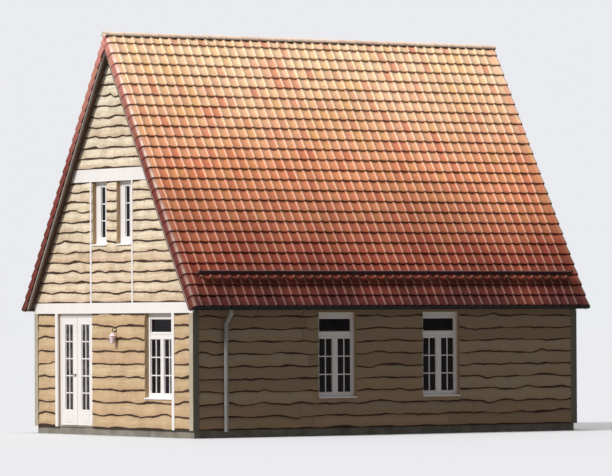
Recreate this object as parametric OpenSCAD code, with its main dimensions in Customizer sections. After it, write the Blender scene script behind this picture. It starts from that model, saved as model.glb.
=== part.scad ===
// Lakeside boathouse cottage: a steep tiled gable roof on low timber clad walls,
// with white bands and battens, French doors and narrow gable windows.
// The front gable looks along -Y and the ridge runs along Y. The ground is at z = 0.

/* [House] */
// Width of the house over the outer faces of its side walls
house_w = 6000; // [5600:50:7200]
// Length of the house over the outer faces of its gable walls
house_l = 9200; // [8800:50:11000]
// Height of the floor above the ground
floor_h = 150; // [100:10:300]
// Thickness of the outer walls
wall_t = 200; // [170:10:260]
// Height of the side walls above the floor
wall_h = 2490; // [2450:10:2700]
// Thickness of the floor under the attic
attic_floor_t = 200; // [150:10:205]
// How far the plinth stands back from the wall faces
plinth_set_back = 20; // [10:5:40]

/* [Roof] */
// Pitch of both roof slopes in degrees
pitch = 59; // [56:0.5:61]
// Thickness of the rafters and boarding, square to the slope
deck_t = 130; // [100:5:160]
// Reach of the rafter ends beyond the side walls
eaves_over = 180; // [160:5:220]
// Reach of the tiles beyond the side walls
tile_over = 300; // [285:5:330]
// Height of the level underside of the eaves above the floor
eaves_foot_h = 2330; // [2300:5:2340]
// Reach of the verge tiles beyond the gable walls
verge_over = 180; // [160:5:260]
// Thickness of the eaves boards
fascia_t = 22; // [18:1:30]

/* [Roof tiles] */
// Length of slope that each course of tiles covers
tile_gauge = 245; // [220:5:330]
// Height of a tile's lower edge over the roof boarding, with its battens
tile_t = 88; // [70:2:110]
// Step from one course of tiles down to the next
tile_step = 24; // [15:1:35]
// Width that each tile covers
tile_w = 215; // [180:5:260]
// Width of the roll along each tile
roll_w = 64; // [50:2:80]
// Height of the rolls over the tiles' lower edges
roll_h = 22; // [12:1:26]
// Depth of the verge tiles, square to the slope
verge_tile_d = 180; // [140:5:200]
// Width of the verge tiles on the roof
verge_tile_w = 160; // [120:5:200]
// Thickness of the verge tiles' front
verge_tile_t = 18; // [12:1:25]
// Thickness of the verge tiles' top
verge_top_t = 12; // [8:1:18]
// Radius of the ridge tiles
ridge_r = 86; // [75:1:110]
// Thickness of the ridge tiles
ridge_t = 15; // [10:1:20]
// Length of each ridge tile
ridge_pitch = 400; // [300:10:500]
// Length of the collar where two ridge tiles overlap
ridge_collar = 55; // [40:5:80]
// How far the collar stands proud of the ridge tile
ridge_collar_t = 9; // [5:1:15]
// Dark gap between the ridge tiles and the top course
ridge_gap = 36; // [20:2:60]

/* [Barge boards] */
// Thickness of the barge boards
barge_t = 30; // [22:1:40]
// Depth of the barge boards below the rafters
barge_drop = 30; // [20:5:150]
// Gap between the verge tiles and the barge boards
barge_gap = 12; // [6:1:30]

/* [Gutters] */
// Outer radius of the gutters
gutter_r = 62; // [50:1:70]
// Thickness of the gutters
gutter_t = 3; // [2:0.5:5]
// Drop of the gutter below the top of the eaves board
gutter_drop = 12; // [8:1:20]
// Radius of the downpipes
pipe_r = 42; // [35:1:50]
// Distance from the gable to the middle of a downpipe
pipe_from_gable = 700; // [500:10:1200]
// Height of the downpipe's mouth above the ground
pipe_foot = 120; // [80:10:300]
// Gap between the downpipe and the side wall
pipe_stand_off = 35; // [33:1:60]
// Number of pipe clips on each downpipe
pipe_clips = 2; // [2:1:4]
// Spacing of the gutter brackets
bracket_pitch = 900; // [600:50:1200]

/* [Snow guard] */
// Distance up the slope from the tiles' lower edge to the snow guard
guard_up = 700; // [600:10:900]
// Height of the snow guard's rail, square to the slope
guard_rail_h = 130; // [80:5:180]
// Thickness of the snow guard's rail
guard_rail_t = 22; // [12:1:40]
// Clear height under the rail
guard_clear = 40; // [20:5:60]
// Spacing of the snow guard's brackets
guard_pitch = 1800; // [900:50:2400]
// Distance from the gable wall to the end of the rail
guard_end = 95; // [50:5:400]

/* [White boards] */
// Height of the underside of the upper band above the floor
upper_band_h = 4910; // [4700:10:5100]
// Width of the upper band
upper_band_w = 250; // [150:10:300]
// Height of the door and window heads, and of the lower band's underside, above the floor
head_h = 2280; // [2250:5:2285]
// Thickness of the bands and trims
board_t = 30; // [22:1:40]
// Width of the corner boards
corner_w = 110; // [80:5:150]
// Distance of the gable battens from the middle of the gable
batten_x = 790; // [760:5:900]
// Width of the gable battens
batten_w = 55; // [40:5:80]
// Width of the trim beside the doors and windows
trim_w = 95; // [70:5:110]

/* [French doors] */
// Distance of the doorway's middle to the left of the middle of the gable
door_x = 1440; // [1400:10:1700]
// Width of the doorway in the wall
door_w = 1340; // [1300:10:1500]
// Depth of the doors behind the wall face
door_recess = 37; // [20:1:80]
// Width of the door frame's posts
jamb_w = 70; // [50:5:90]
// Height of the door frame's head
door_head_h = 75; // [60:5:100]
// Thickness of the doors and their frame
leaf_t = 56; // [44:2:70]
// Gap between a door and its frame
leaf_gap = 5; // [5:0.5:8]
// Gap between the two doors
meet_gap = 10; // [10:1:14]
// Height of the threshold
threshold_h = 30; // [15:1:40]
// Gap under the doors
under_gap = 6; // [5:0.5:12]
// Width of the doors' outer stiles
outer_stile = 125; // [90:5:150]
// Width of the doors' meeting stiles
meeting_stile = 165; // [120:5:180]
// Height of the doors' top rails
top_rail = 140; // [90:5:180]
// Height of the doors' bottom rails
bottom_rail = 300; // [200:10:500]
// Radius of the hinge barrels
hinge_r = 8.7; // [6:0.1:12]
// Length of the hinge barrels
hinge_l = 90; // [60:5:120]
// Running clearance round the hinge barrels
hinge_clear = 0.3; // [0.2:0.1:1]
// Height of the door handle above the floor
handle_h = 1050; // [900:10:1200]
// Length of the door handle's lever
lever_l = 130; // [90:5:160]

/* [Windows] */
// Distance of the front window's middle from the middle of the gable
window_x = 1740; // [1650:10:1800]
// Width of the gable walls' ground floor windows
window_w = 1010; // [900:10:1100]
// Width of the side walls' windows
side_window_w = 900; // [700:10:1100]
// Distance from the gable to the middle of a side window
side_window_from_gable = 3350; // [2500:10:3500]
// Height of the window sills above the floor
sill_h = 600; // [500:10:900]
// Depth of the window frames behind the wall face
window_recess = 75; // [40:5:90]
// Depth of the window frames
window_frame_d = 70; // [60:2:80]
// Width of the window frames' sides
window_side = 70; // [50:5:90]
// Height of the window frames' heads
window_head = 120; // [80:5:140]
// Height of the window frames' sills
window_sill = 100; // [80:5:140]
// Width of the post between two casements
mullion_w = 120; // [80:5:150]
// Height of the light over the transom
fanlight_h = 260; // [200:10:400]
// Height of the transom
transom_h = 132; // [90:2:160]
// Thickness of the glass
glass_t = 20; // [16:1:24]
// Depth of the glass behind the face of its frame
glass_recess = 22; // [15:1:42]

/* [Narrow gable windows] */
// Distance of a narrow window's middle from the middle of the gable
slit_x = 465; // [400:5:470]
// Width of the narrow windows
slit_w = 550; // [450:10:560]
// Height of the narrow windows' sills above the floor
slit_sill_h = 3640; // [3000:10:3900]
// Width of the narrow windows' frames
slit_side = 190; // [120:5:200]
// Height of the narrow windows' heads
slit_head = 110; // [80:5:140]
// Height of the narrow windows' bottom rails
slit_bottom = 150; // [80:5:180]

/* [Wall lamp] */
// Distance of the lamp from the middle of the gable
lamp_x = 170; // [100:10:600]
// Height of the lamp's arm above the floor
lamp_h = 1960; // [1700:10:2100]
// Reach of the lamp's arm
lamp_reach = 112; // [90:2:120]
// Radius of the lantern's cap
lamp_cap_r = 62; // [50:1:64]
// Height of the lantern's body
lamp_body_h = 230; // [180:5:260]

/* [Hidden] */
$fn = 48;

// Heights from the ground
head_z = floor_h + head_h;
wall_top = floor_h + wall_h;
foot_z = floor_h + eaves_foot_h;
band_z0 = floor_h + upper_band_h;
band_z1 = band_z0 + upper_band_w;
slit_z = floor_h + slit_sill_h;
// Half sizes of the house and the plane of the front gable
half_w = house_w / 2;
half_l = house_l / 2;
gable_y = -half_l;
room_w = house_w - 2 * wall_t;
room_l = house_l - 2 * wall_t;
// Roof slope: s runs down the slope and n stands square to it, from the peak of the rafters' underside
sin_p = sin(pitch);
cos_p = cos(pitch);
tan_p = tan(pitch);
peak_z = wall_top + half_w * tan_p;
tile_n = deck_t + tile_t;
verge_n = tile_n + verge_top_t;
fascia_x = half_w + eaves_over;
gutter_x = fascia_x + fascia_t;
eave_s = s_at(half_w + tile_over, tile_n);
// The two slopes' boards stop this far short of each other at the ridge
ridge_joint = 0.5;
// Clearance under a sloping piece that lies on another
lay_gap = 0.05;
top_s = s_at(ridge_joint * 10, deck_t);
courses = floor((eave_s - top_s) / tile_gauge);
// Ends of the deck, the boards and the tiles along the ridge
deck_half = half_l + verge_over - verge_tile_t - barge_gap - barge_t;
tile_half = half_l + verge_over - verge_tile_t;
// Columns of tiles between the verge tiles
columns_half = half_l + verge_over - verge_tile_w;
columns = round(2 * columns_half / tile_w);
column_w = 2 * columns_half / columns;
roll_top_w = 30;
// Ridge tiles: their middle lies over the corner where the top course ends
seal_r = ridge_r - ridge_t;
ridge_z = slope_point(top_s, tile_n)[1] + ridge_gap - ridge_t;
// Gutter hung on the eaves board, with end caps that stop below the tiles' lower corner
gutter_z = slope_z(gutter_x, deck_t) - gutter_drop;
cap_clear = 3;
cap_drop = gutter_z - slope_point(eave_s, deck_t)[1] + cap_clear;
gutter_mid = gutter_x + gutter_r;
gutter_inner_r = gutter_r - gutter_t;
pipe_x = half_w + pipe_stand_off + pipe_r;
pipe_y = gable_y + pipe_from_gable;
// Snow guard
guard_s = eave_s - guard_up;
guard_n = tile_n + guard_clear;
guard_half = half_l - guard_end;
// Doorway
door_x0 = -door_x - door_w / 2;
door_x1 = -door_x + door_w / 2;
leaf_w = (door_w - 2 * jamb_w - 2 * leaf_gap - meet_gap) / 2;
leaf_z = floor_h + threshold_h + under_gap;
leaf_h = head_z - door_head_h - leaf_gap - leaf_z;
leaf_y = gable_y + door_recess;
door_light_w = leaf_w - outer_stile - meeting_stile;
door_light_h = leaf_h - top_rail - bottom_rail;
hinge_out = hinge_r + hinge_clear;
// Windows
window_h = head_h - sill_h;
slit_h = upper_band_h - slit_sill_h;
side_window_y = half_l - side_window_from_gable;
// Small sizes that are set once
over = 1;
rose_r = 26;
rose_t = 9;
lever_r = 9;
lever_out = 46;
clip_w = 30;
pipe_socket = 4;
bracket_w = 30;
bracket_t = 6;
guard_foot_w = 40;
lamp_plate_r = 42;
lamp_arm_r = 10;
lamp_foot_r = 36;
lamp_body_r = 50;
lamp_cap_h = 55;
lamp_top_r = 16;

// Distance down the slope of the point with this x and height n over the rafters' underside
function s_at(x, n) = (x - n * sin_p) / cos_p;
// Point of the section across the ridge, from its place on the slope
function slope_point(s, n) = [s * cos_p + n * sin_p, peak_z - s * sin_p + n * cos_p];
// Height of the slope's plane n at this x
function slope_z(x, n) = peak_z + n / cos_p - x * tan_p;
// Distance from the middle where the plane n reaches this height
function slope_x(z, n) = (peak_z + n / cos_p - z) / tan_p;

// Stepped upper surface of the courses from the eaves to the ridge, raised and moved down by extra
function course_line(extra) = [for (i = [0 : courses], top = [0, 1])
    let (low_s = eave_s - i * tile_gauge, high_s = max(low_s - tile_gauge, top_s))
    top == 0 ? slope_point(low_s + extra, tile_n + extra)
        : slope_point(high_s + extra, tile_n + extra - tile_step * (low_s - high_s) / tile_gauge)];

// Height of the tiles' surface at this distance down the slope
function surface_n(s) =
    let (steps = (eave_s - s) / tile_gauge)
    tile_n - tile_step * (steps - floor(steps));

// First place for a snow guard's foot, between two rolls, at or after this place along the ridge
function foot_y(y) =
    let (first = (column_w + roll_w - guard_foot_w) / 2 - columns_half)
    first + column_w * ceil((y - first) / column_w);

function backwards(list) = [for (i = [len(list) - 1 : -1 : 0]) list[i]];

// Openings in a casement window of this width and height, each as [x0, x1, z0, z1]
function window_lights(w, h) =
    let (x = w / 2 - window_side, top = h - window_head, low = top - fanlight_h - transom_h)
    [[-x, x, top - fanlight_h, top],
     [-x, -mullion_w / 2, window_sill, low],
     [mullion_w / 2, x, window_sill, low]];

function slit_lights() =
    let (x = slit_w / 2 - slit_side)
    [[-x, x, slit_bottom, slit_h - slit_head]];

// Block between two corners
module block(low, high) {
    translate(low) cube(high - low);
}

// Section in x and z, drawn out along the ridge
module along_ridge(y0, y1) {
    translate([0, y1, 0]) rotate([90, 0, 0]) linear_extrude(y1 - y0) children();
}

// The piece and its mirror image at the other side of the house
module both_sides() {
    children();
    mirror([1, 0, 0]) children();
}

// The piece at the front gable and again at the back gable
module both_gables() {
    children();
    mirror([0, 1, 0]) children();
}

// Turns a piece made for the front so that it lies in the right hand side wall
module on_side_wall(y) {
    translate([half_w, y, 0]) rotate([0, 0, 90]) children();
}

module side_windows_place() {
    both_sides() both_gables() on_side_wall(-side_window_y) children();
}

module plinth() {
    x = half_w - plinth_set_back;
    y = half_l - plinth_set_back;
    color("dimgray") difference() {
        block([-x, -y, 0], [x, y, floor_h]);
        block([-room_w / 2, -room_l / 2, -over], [room_w / 2, room_l / 2, floor_h + over]);
    }
}

module ground_floor() {
    color("burlywood") block([-room_w / 2, -room_l / 2, 0], [room_w / 2, room_l / 2, floor_h]);
}

module attic_floor() {
    color("burlywood") block([-room_w / 2, -room_l / 2, wall_top - attic_floor_t],
        [room_w / 2, room_l / 2, wall_top]);
}

// Opening cut through a gable wall at the front
module window_cut(x, w, z0, z1) {
    block([x - w / 2, gable_y - over, z0], [x + w / 2, gable_y + wall_t + over, z1]);
}

module front_wall_left() {
    color("tan") block([-half_w, gable_y, floor_h], [door_x0, gable_y + wall_t, head_z]);
}

module front_wall_right() {
    color("tan") difference() {
        block([door_x1, gable_y, floor_h], [half_w, gable_y + wall_t, head_z]);
        window_cut(window_x, window_w, floor_h + sill_h, head_z + over);
    }
}

// Wall over the doors and windows, up to the rafters, with the two narrow windows
module gable_wall() {
    color("tan") difference() {
        along_ridge(gable_y, gable_y + wall_t)
            polygon([[-half_w, head_z], [half_w, head_z], [half_w, wall_top], [0, peak_z],
                [-half_w, wall_top]]);
        both_sides() window_cut(slit_x, slit_w, slit_z, slit_z + slit_h);
    }
}

module front_gable() {
    gable_wall();
}

module back_wall() {
    color("tan") mirror([0, 1, 0]) difference() {
        block([-half_w, gable_y, floor_h], [half_w, gable_y + wall_t, head_z]);
        both_sides() window_cut(window_x, window_w, floor_h + sill_h, head_z + over);
    }
}

module back_gable() {
    mirror([0, 1, 0]) gable_wall();
}

// Side wall between the gable walls, bevelled on top to seat the rafters
module side_wall() {
    inner = half_w - wall_t;
    color("tan") difference() {
        along_ridge(-room_l / 2, room_l / 2)
            polygon([[inner, floor_h], [half_w, floor_h], [half_w, wall_top],
                [inner, wall_top + wall_t * tan_p]]);
        for (y = [-side_window_y, side_window_y])
            block([inner - over, y - side_window_w / 2, floor_h + sill_h],
                [half_w + over, y + side_window_w / 2, head_z]);
    }
}

module left_side_wall() {
    mirror([1, 0, 0]) side_wall();
}

module right_side_wall() {
    side_wall();
}

// Rafters and boarding of one slope, with level and plumb cuts at the eaves
module roof_deck() {
    color("saddlebrown") along_ridge(-deck_half, deck_half)
        polygon([[ridge_joint, slope_z(ridge_joint, lay_gap)], [slope_x(foot_z, lay_gap), foot_z],
            [fascia_x, foot_z], [fascia_x, slope_z(fascia_x, deck_t)],
            [ridge_joint, slope_z(ridge_joint, deck_t)]]);
}

module roof_deck_left() {
    mirror([1, 0, 0]) roof_deck();
}

module roof_deck_right() {
    roof_deck();
}

// Rolls of the tiles, one down the slope for each column
module tile_rolls() {
    foot = slope_point(eave_s, tile_n - tile_step - over);
    rise = roll_h + tile_step + over;
    translate([foot[0], 0, foot[1]]) rotate([0, pitch - 90, 0])
        linear_extrude(eave_s - top_s)
            for (i = [0 : columns - 1])
                translate([0, column_w * i - columns_half])
                    polygon([[0, 0], [rise, (roll_w - roll_top_w) / 2],
                        [rise, (roll_w + roll_top_w) / 2], [0, roll_w]]);
}

// Courses of tiles on one slope, each lapping over the head of the one below
module roof_tiles() {
    color("indianred") {
        along_ridge(-tile_half, tile_half)
            polygon(concat(course_line(0), [slope_point(top_s, deck_t + lay_gap),
                slope_point(eave_s, deck_t + lay_gap)]));
        tile_rolls();
    }
}

module roof_tiles_left() {
    mirror([1, 0, 0]) roof_tiles();
}

module roof_tiles_right() {
    roof_tiles();
}

// Dark filling under the ridge tiles, down to the tops of the two slopes' boards
module ridge_seal() {
    top_corner = slope_point(top_s, tile_n - tile_step * (eave_s - courses * tile_gauge - top_s)
        / tile_gauge);
    low_corner = slope_point(top_s, deck_t + lay_gap);
    joint_z = slope_z(ridge_joint, deck_t + lay_gap);
    color("dimgray") along_ridge(-tile_half, tile_half) {
        translate([0, ridge_z]) intersection() {
            circle(seal_r);
            translate([-seal_r, 0]) square([2 * seal_r, seal_r]);
        }
        polygon([[-low_corner[0], low_corner[1]], [-ridge_joint, joint_z], [ridge_joint, joint_z],
            low_corner, top_corner, [seal_r, ridge_z], [-seal_r, ridge_z],
            [-top_corner[0], top_corner[1]]]);
    }
}

module ridge_section(extra) {
    translate([0, ridge_z]) difference() {
        circle(ridge_r + extra);
        circle(seal_r);
        translate([-2 * ridge_r, -2 * ridge_r]) square([4 * ridge_r, 2 * ridge_r]);
    }
}

// Half round tiles along the ridge, each with a collar over the next
module ridge_tiles() {
    end = half_l + verge_over;
    color("darksalmon") {
        along_ridge(-end, end) ridge_section(0);
        for (y = [-end : ridge_pitch : end - ridge_collar])
            along_ridge(y, y + ridge_collar) ridge_section(ridge_collar_t);
    }
}

// Edge tiles of one slope at the front: a front face and a top that lies on the courses
module verge_tiles() {
    low_n = verge_n - verge_tile_d;
    outer_y = gable_y - verge_over;
    color("salmon") {
        along_ridge(outer_y, outer_y + verge_tile_t)
            polygon(concat(course_line(verge_top_t),
                [[ridge_joint, slope_point(top_s, tile_n)[1]], [ridge_joint, slope_z(ridge_joint, low_n)],
                 slope_point(eave_s, low_n)]));
        along_ridge(outer_y, outer_y + verge_tile_w)
            polygon(concat(course_line(verge_top_t), backwards(course_line(0))));
    }
}

module verge_tiles_front() {
    both_sides() verge_tiles();
}

module verge_tiles_back() {
    mirror([0, 1, 0]) both_sides() verge_tiles();
}

// Sloping board under one front verge, cut level at the eaves
module barge_board() {
    low_z = foot_z;
    y0 = -deck_half - barge_t;
    color("dimgray") along_ridge(y0, -deck_half)
        polygon([[ridge_joint, slope_z(ridge_joint, -barge_drop)],
            [slope_x(low_z, -barge_drop), low_z], [gutter_x, low_z],
            [gutter_x, slope_z(gutter_x, deck_t)], [ridge_joint, slope_z(ridge_joint, deck_t)]]);
}

module barge_boards_front() {
    both_sides() barge_board();
}

module barge_boards_back() {
    mirror([0, 1, 0]) both_sides() barge_board();
}

// Boards over the rafter ends at both eaves
module fascia_boards() {
    color("dimgray") both_sides() along_ridge(-deck_half, deck_half)
        polygon([[fascia_x, foot_z], [gutter_x, foot_z], [gutter_x, slope_z(gutter_x, deck_t)],
            [fascia_x, slope_z(fascia_x, deck_t)]]);
}

module half_ring(outer_r, inner_r) {
    difference() {
        circle(outer_r);
        circle(inner_r);
        translate([-2 * outer_r, 0]) square([4 * outer_r, 2 * outer_r]);
    }
}

module end_cap() {
    difference() {
        circle(gutter_r);
        translate([-2 * gutter_r, -cap_drop]) square([4 * gutter_r, 4 * gutter_r]);
    }
}

// One half round gutter with its end caps and brackets
module gutter() {
    color("darkslategray") {
        translate([gutter_mid, 0, gutter_z]) {
            along_ridge(-tile_half, tile_half) half_ring(gutter_r, gutter_inner_r);
            both_gables() along_ridge(-tile_half, -tile_half + gutter_t) end_cap();
        }
        for (y = [-deck_half + bracket_w : bracket_pitch : deck_half - bracket_w])
            block([gutter_x, y, foot_z], [gutter_x + bracket_t, y + bracket_w, gutter_z]);
    }
}

module gutters() {
    both_sides() gutter();
}

// One downpipe: a drop from the gutter, a bend in to the wall and a long pipe on clips
module downpipe() {
    top = gutter_z - gutter_r;
    knee = foot_z - 2 * pipe_r;
    run = gutter_mid - pipe_x;
    low_knee = knee - run;
    color("lightgray") translate([0, pipe_y, 0]) {
        translate([gutter_mid, 0, knee]) cylinder(r = pipe_r, h = top - knee);
        translate([gutter_mid, 0, knee]) sphere(pipe_r + pipe_socket);
        translate([gutter_mid, 0, knee]) rotate([0, -135, 0]) cylinder(r = pipe_r, h = run * sqrt(2));
        translate([pipe_x, 0, low_knee]) sphere(pipe_r + pipe_socket);
        translate([pipe_x, 0, pipe_foot]) cylinder(r = pipe_r, h = low_knee - pipe_foot);
        for (i = [1 : pipe_clips])
            translate([half_w, -clip_w / 2, pipe_foot + (low_knee - pipe_foot) * i / (pipe_clips + 1)])
                cube([pipe_x - half_w, clip_w, clip_w]);
    }
}

module downpipes() {
    both_sides() downpipe();
}

// Rail above the tiles of one slope, on brackets that stand on the courses between the rolls
module snow_guard() {
    low = guard_s + guard_rail_t;
    color("slategray") {
        along_ridge(-guard_half, guard_half)
            polygon([slope_point(guard_s, guard_n), slope_point(low, guard_n),
                slope_point(low, guard_n + guard_rail_h), slope_point(guard_s, guard_n + guard_rail_h)]);
        for (y = [-guard_half : guard_pitch : guard_half - guard_foot_w - column_w])
            along_ridge(foot_y(y), foot_y(y) + guard_foot_w)
                polygon([slope_point(guard_s, surface_n(guard_s)), slope_point(low, surface_n(low)),
                    slope_point(low, guard_n + over), slope_point(guard_s, guard_n + over)]);
    }
}

module snow_guards() {
    both_sides() snow_guard();
}

// White band over the ground floor and the one over the narrow windows
module gable_bands() {
    edge = half_w + board_t;
    color("white") along_ridge(gable_y - board_t, gable_y) {
        polygon([[-edge, head_z], [edge, head_z], [edge, slope_z(edge, 0)], [half_w, wall_top],
            [-half_w, wall_top], [-edge, slope_z(edge, 0)]]);
        polygon([[-slope_x(band_z0, 0), band_z0], [slope_x(band_z0, 0), band_z0],
            [slope_x(band_z1, 0), band_z1], [-slope_x(band_z1, 0), band_z1]]);
    }
}

module front_bands() {
    gable_bands();
}

module back_bands() {
    mirror([0, 1, 0]) gable_bands();
}

// Upright white board on the front wall
module upright(x0, x1, z0, z1) {
    color("white") block([x0, gable_y - board_t, z0], [x1, gable_y, z1]);
}

module gable_battens() {
    both_sides() upright(batten_x - batten_w / 2, batten_x + batten_w / 2, wall_top, band_z0);
}

module window_trim() {
    x = window_x + window_w / 2;
    upright(x, x + trim_w, floor_h, head_z);
}

module front_trims() {
    gable_battens();
    window_trim();
    upright(door_x0 - trim_w, door_x0, floor_h, head_z);
}

module back_trims() {
    mirror([0, 1, 0]) {
        gable_battens();
        both_sides() window_trim();
    }
}

// Boards round the four corners, under the lower bands
module corner_boards() {
    color("beige") both_gables() both_sides() {
        block([half_w - corner_w, gable_y - board_t, floor_h], [half_w + board_t, gable_y, head_z]);
        block([half_w, gable_y, floor_h], [half_w + board_t, gable_y + corner_w, head_z]);
    }
}

module door_posts() {
    z = floor_h + threshold_h;
    color("white") for (x = [door_x0, door_x1 - jamb_w])
        block([x, leaf_y, z], [x + jamb_w, leaf_y + leaf_t, head_z - door_head_h]);
}

module door_head() {
    color("white") block([door_x0, leaf_y, head_z - door_head_h], [door_x1, leaf_y + leaf_t, head_z]);
}

module door_threshold() {
    color("lightgray") block([door_x0, gable_y, floor_h],
        [door_x1, leaf_y + leaf_t, floor_h + threshold_h]);
}

// Three barrels at the edge of a door, each on a plate on the post's inner face
module hinge_set() {
    x = jamb_w + leaf_gap / 2;
    for (i = [0 : 2])
        translate([x, leaf_y + leaf_t + hinge_out, leaf_z + leaf_h * (1 + 3 * i) / 8]) {
            cylinder(r = hinge_r, h = hinge_l);
            translate([-jamb_w / 2, -hinge_out, 0]) cube([jamb_w / 2 - leaf_gap / 2, hinge_out, hinge_l]);
            translate([-jamb_w / 2, -hinge_clear, 0])
                cube([jamb_w / 2, hinge_clear + hinge_r / 2, hinge_l]);
        }
}

module door_hinges() {
    color("gainsboro") {
        translate([door_x0, 0, 0]) hinge_set();
        translate([door_x1, 0, 0]) mirror([1, 0, 0]) hinge_set();
    }
}

// Places a door that is drawn from its hinged edge towards +x
module at_left_leaf() {
    translate([door_x0 + jamb_w + leaf_gap, leaf_y, leaf_z]) children();
}

module at_right_leaf() {
    translate([door_x1 - jamb_w - leaf_gap, leaf_y, leaf_z]) mirror([1, 0, 0]) children();
}

module leaf() {
    color("white") difference() {
        cube([leaf_w, leaf_t, leaf_h]);
        translate([outer_stile, -over, bottom_rail])
            cube([door_light_w, leaf_t + 2 * over, door_light_h]);
    }
}

module leaf_glass() {
    color("darkslategray") translate([outer_stile, (leaf_t - glass_t) / 2, bottom_rail])
        cube([door_light_w, glass_t, door_light_h]);
}

module door_leaf_left() {
    at_left_leaf() leaf();
}

module door_glass_left() {
    at_left_leaf() leaf_glass();
}

module door_leaf_right() {
    at_right_leaf() leaf();
}

module door_glass_right() {
    at_right_leaf() leaf_glass();
}

// Rose, neck and lever, standing on the plane y = 0 towards -y
module handle() {
    rotate([90, 0, 0]) {
        cylinder(r = rose_r, h = rose_t);
        cylinder(r = lever_r, h = lever_out);
    }
    translate([0, lever_r - lever_out, 0]) {
        rotate([0, -90, 0]) cylinder(r = lever_r, h = lever_l);
        sphere(lever_r);
    }
}

module door_handles() {
    color("silver") at_left_leaf()
        translate([leaf_w - meeting_stile / 3, 0, floor_h + handle_h - leaf_z]) {
            handle();
            translate([0, leaf_t, 0]) mirror([0, 1, 0]) handle();
        }
}

// Window frame with its face at y = 0, centred on x and standing on z = 0
module window_frame(w, h, lights) {
    color("white") difference() {
        block([-w / 2, 0, 0], [w / 2, window_frame_d, h]);
        for (l = lights)
            block([l[0], -over, l[2]], [l[1], window_frame_d + over, l[3]]);
    }
}

module window_panes(lights) {
    color("darkslategray") for (l = lights)
        block([l[0], glass_recess, l[2]], [l[1], glass_recess + glass_t, l[3]]);
}

module at_window(x, z) {
    translate([x, gable_y + window_recess, z]) children();
}

module slit_frames() {
    both_sides() at_window(slit_x, slit_z) window_frame(slit_w, slit_h, slit_lights());
}

module slit_panes() {
    both_sides() at_window(slit_x, slit_z) window_panes(slit_lights());
}

module front_window_frames() {
    slit_frames();
    at_window(window_x, floor_h + sill_h)
        window_frame(window_w, window_h, window_lights(window_w, window_h));
}

module front_window_glass() {
    slit_panes();
    at_window(window_x, floor_h + sill_h) window_panes(window_lights(window_w, window_h));
}

module back_window_frames() {
    mirror([0, 1, 0]) {
        slit_frames();
        both_sides() at_window(window_x, floor_h + sill_h)
            window_frame(window_w, window_h, window_lights(window_w, window_h));
    }
}

module back_window_glass() {
    mirror([0, 1, 0]) {
        slit_panes();
        both_sides() at_window(window_x, floor_h + sill_h)
            window_panes(window_lights(window_w, window_h));
    }
}

module side_window_frames() {
    side_windows_place() translate([0, window_recess, floor_h + sill_h])
        window_frame(side_window_w, window_h, window_lights(side_window_w, window_h));
}

module side_window_glass() {
    side_windows_place() translate([0, window_recess, floor_h + sill_h])
        window_panes(window_lights(side_window_w, window_h));
}

// Wall plate, arm and a lantern that hangs under its cap
module wall_lamp() {
    color("white") translate([lamp_x, gable_y, floor_h + lamp_h]) {
        rotate([90, 0, 0]) {
            cylinder(r = lamp_plate_r, h = board_t);
            cylinder(r = lamp_arm_r, h = lamp_reach);
        }
        translate([0, -lamp_reach, -lamp_cap_h]) {
            cylinder(r1 = lamp_cap_r, r2 = lamp_top_r, h = lamp_cap_h + lamp_arm_r);
            translate([0, 0, -lamp_body_h])
                cylinder(r1 = lamp_foot_r, r2 = lamp_body_r, h = lamp_body_h);
        }
    }
}

plinth();
ground_floor();
attic_floor();
front_wall_left();
front_wall_right();
front_gable();
back_wall();
back_gable();
left_side_wall();
right_side_wall();
roof_deck_left();
roof_deck_right();
roof_tiles_left();
roof_tiles_right();
ridge_seal();
ridge_tiles();
verge_tiles_front();
verge_tiles_back();
barge_boards_front();
barge_boards_back();
fascia_boards();
gutters();
downpipes();
snow_guards();
front_bands();
back_bands();
front_trims();
back_trims();
corner_boards();
door_posts();
door_head();
door_threshold();
door_hinges();
door_leaf_left();
door_glass_left();
door_handles();
door_leaf_right();
door_glass_right();
front_window_frames();
front_window_glass();
back_window_frames();
back_window_glass();
side_window_frames();
side_window_glass();
wall_lamp();
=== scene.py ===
"""Looks of the boathouse cottage: tiles, waney-edge boards, glazing bars, finishes and stage.

Lengths are in metres. On a slope, s runs down from the peak of the rafters' underside and n stands
off it, and a wall's boards and bars are placed by how far they are along it, out of it and up.
"""

import math
import random

import bmesh
import bpy
from mathutils import Matrix, Vector


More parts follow.
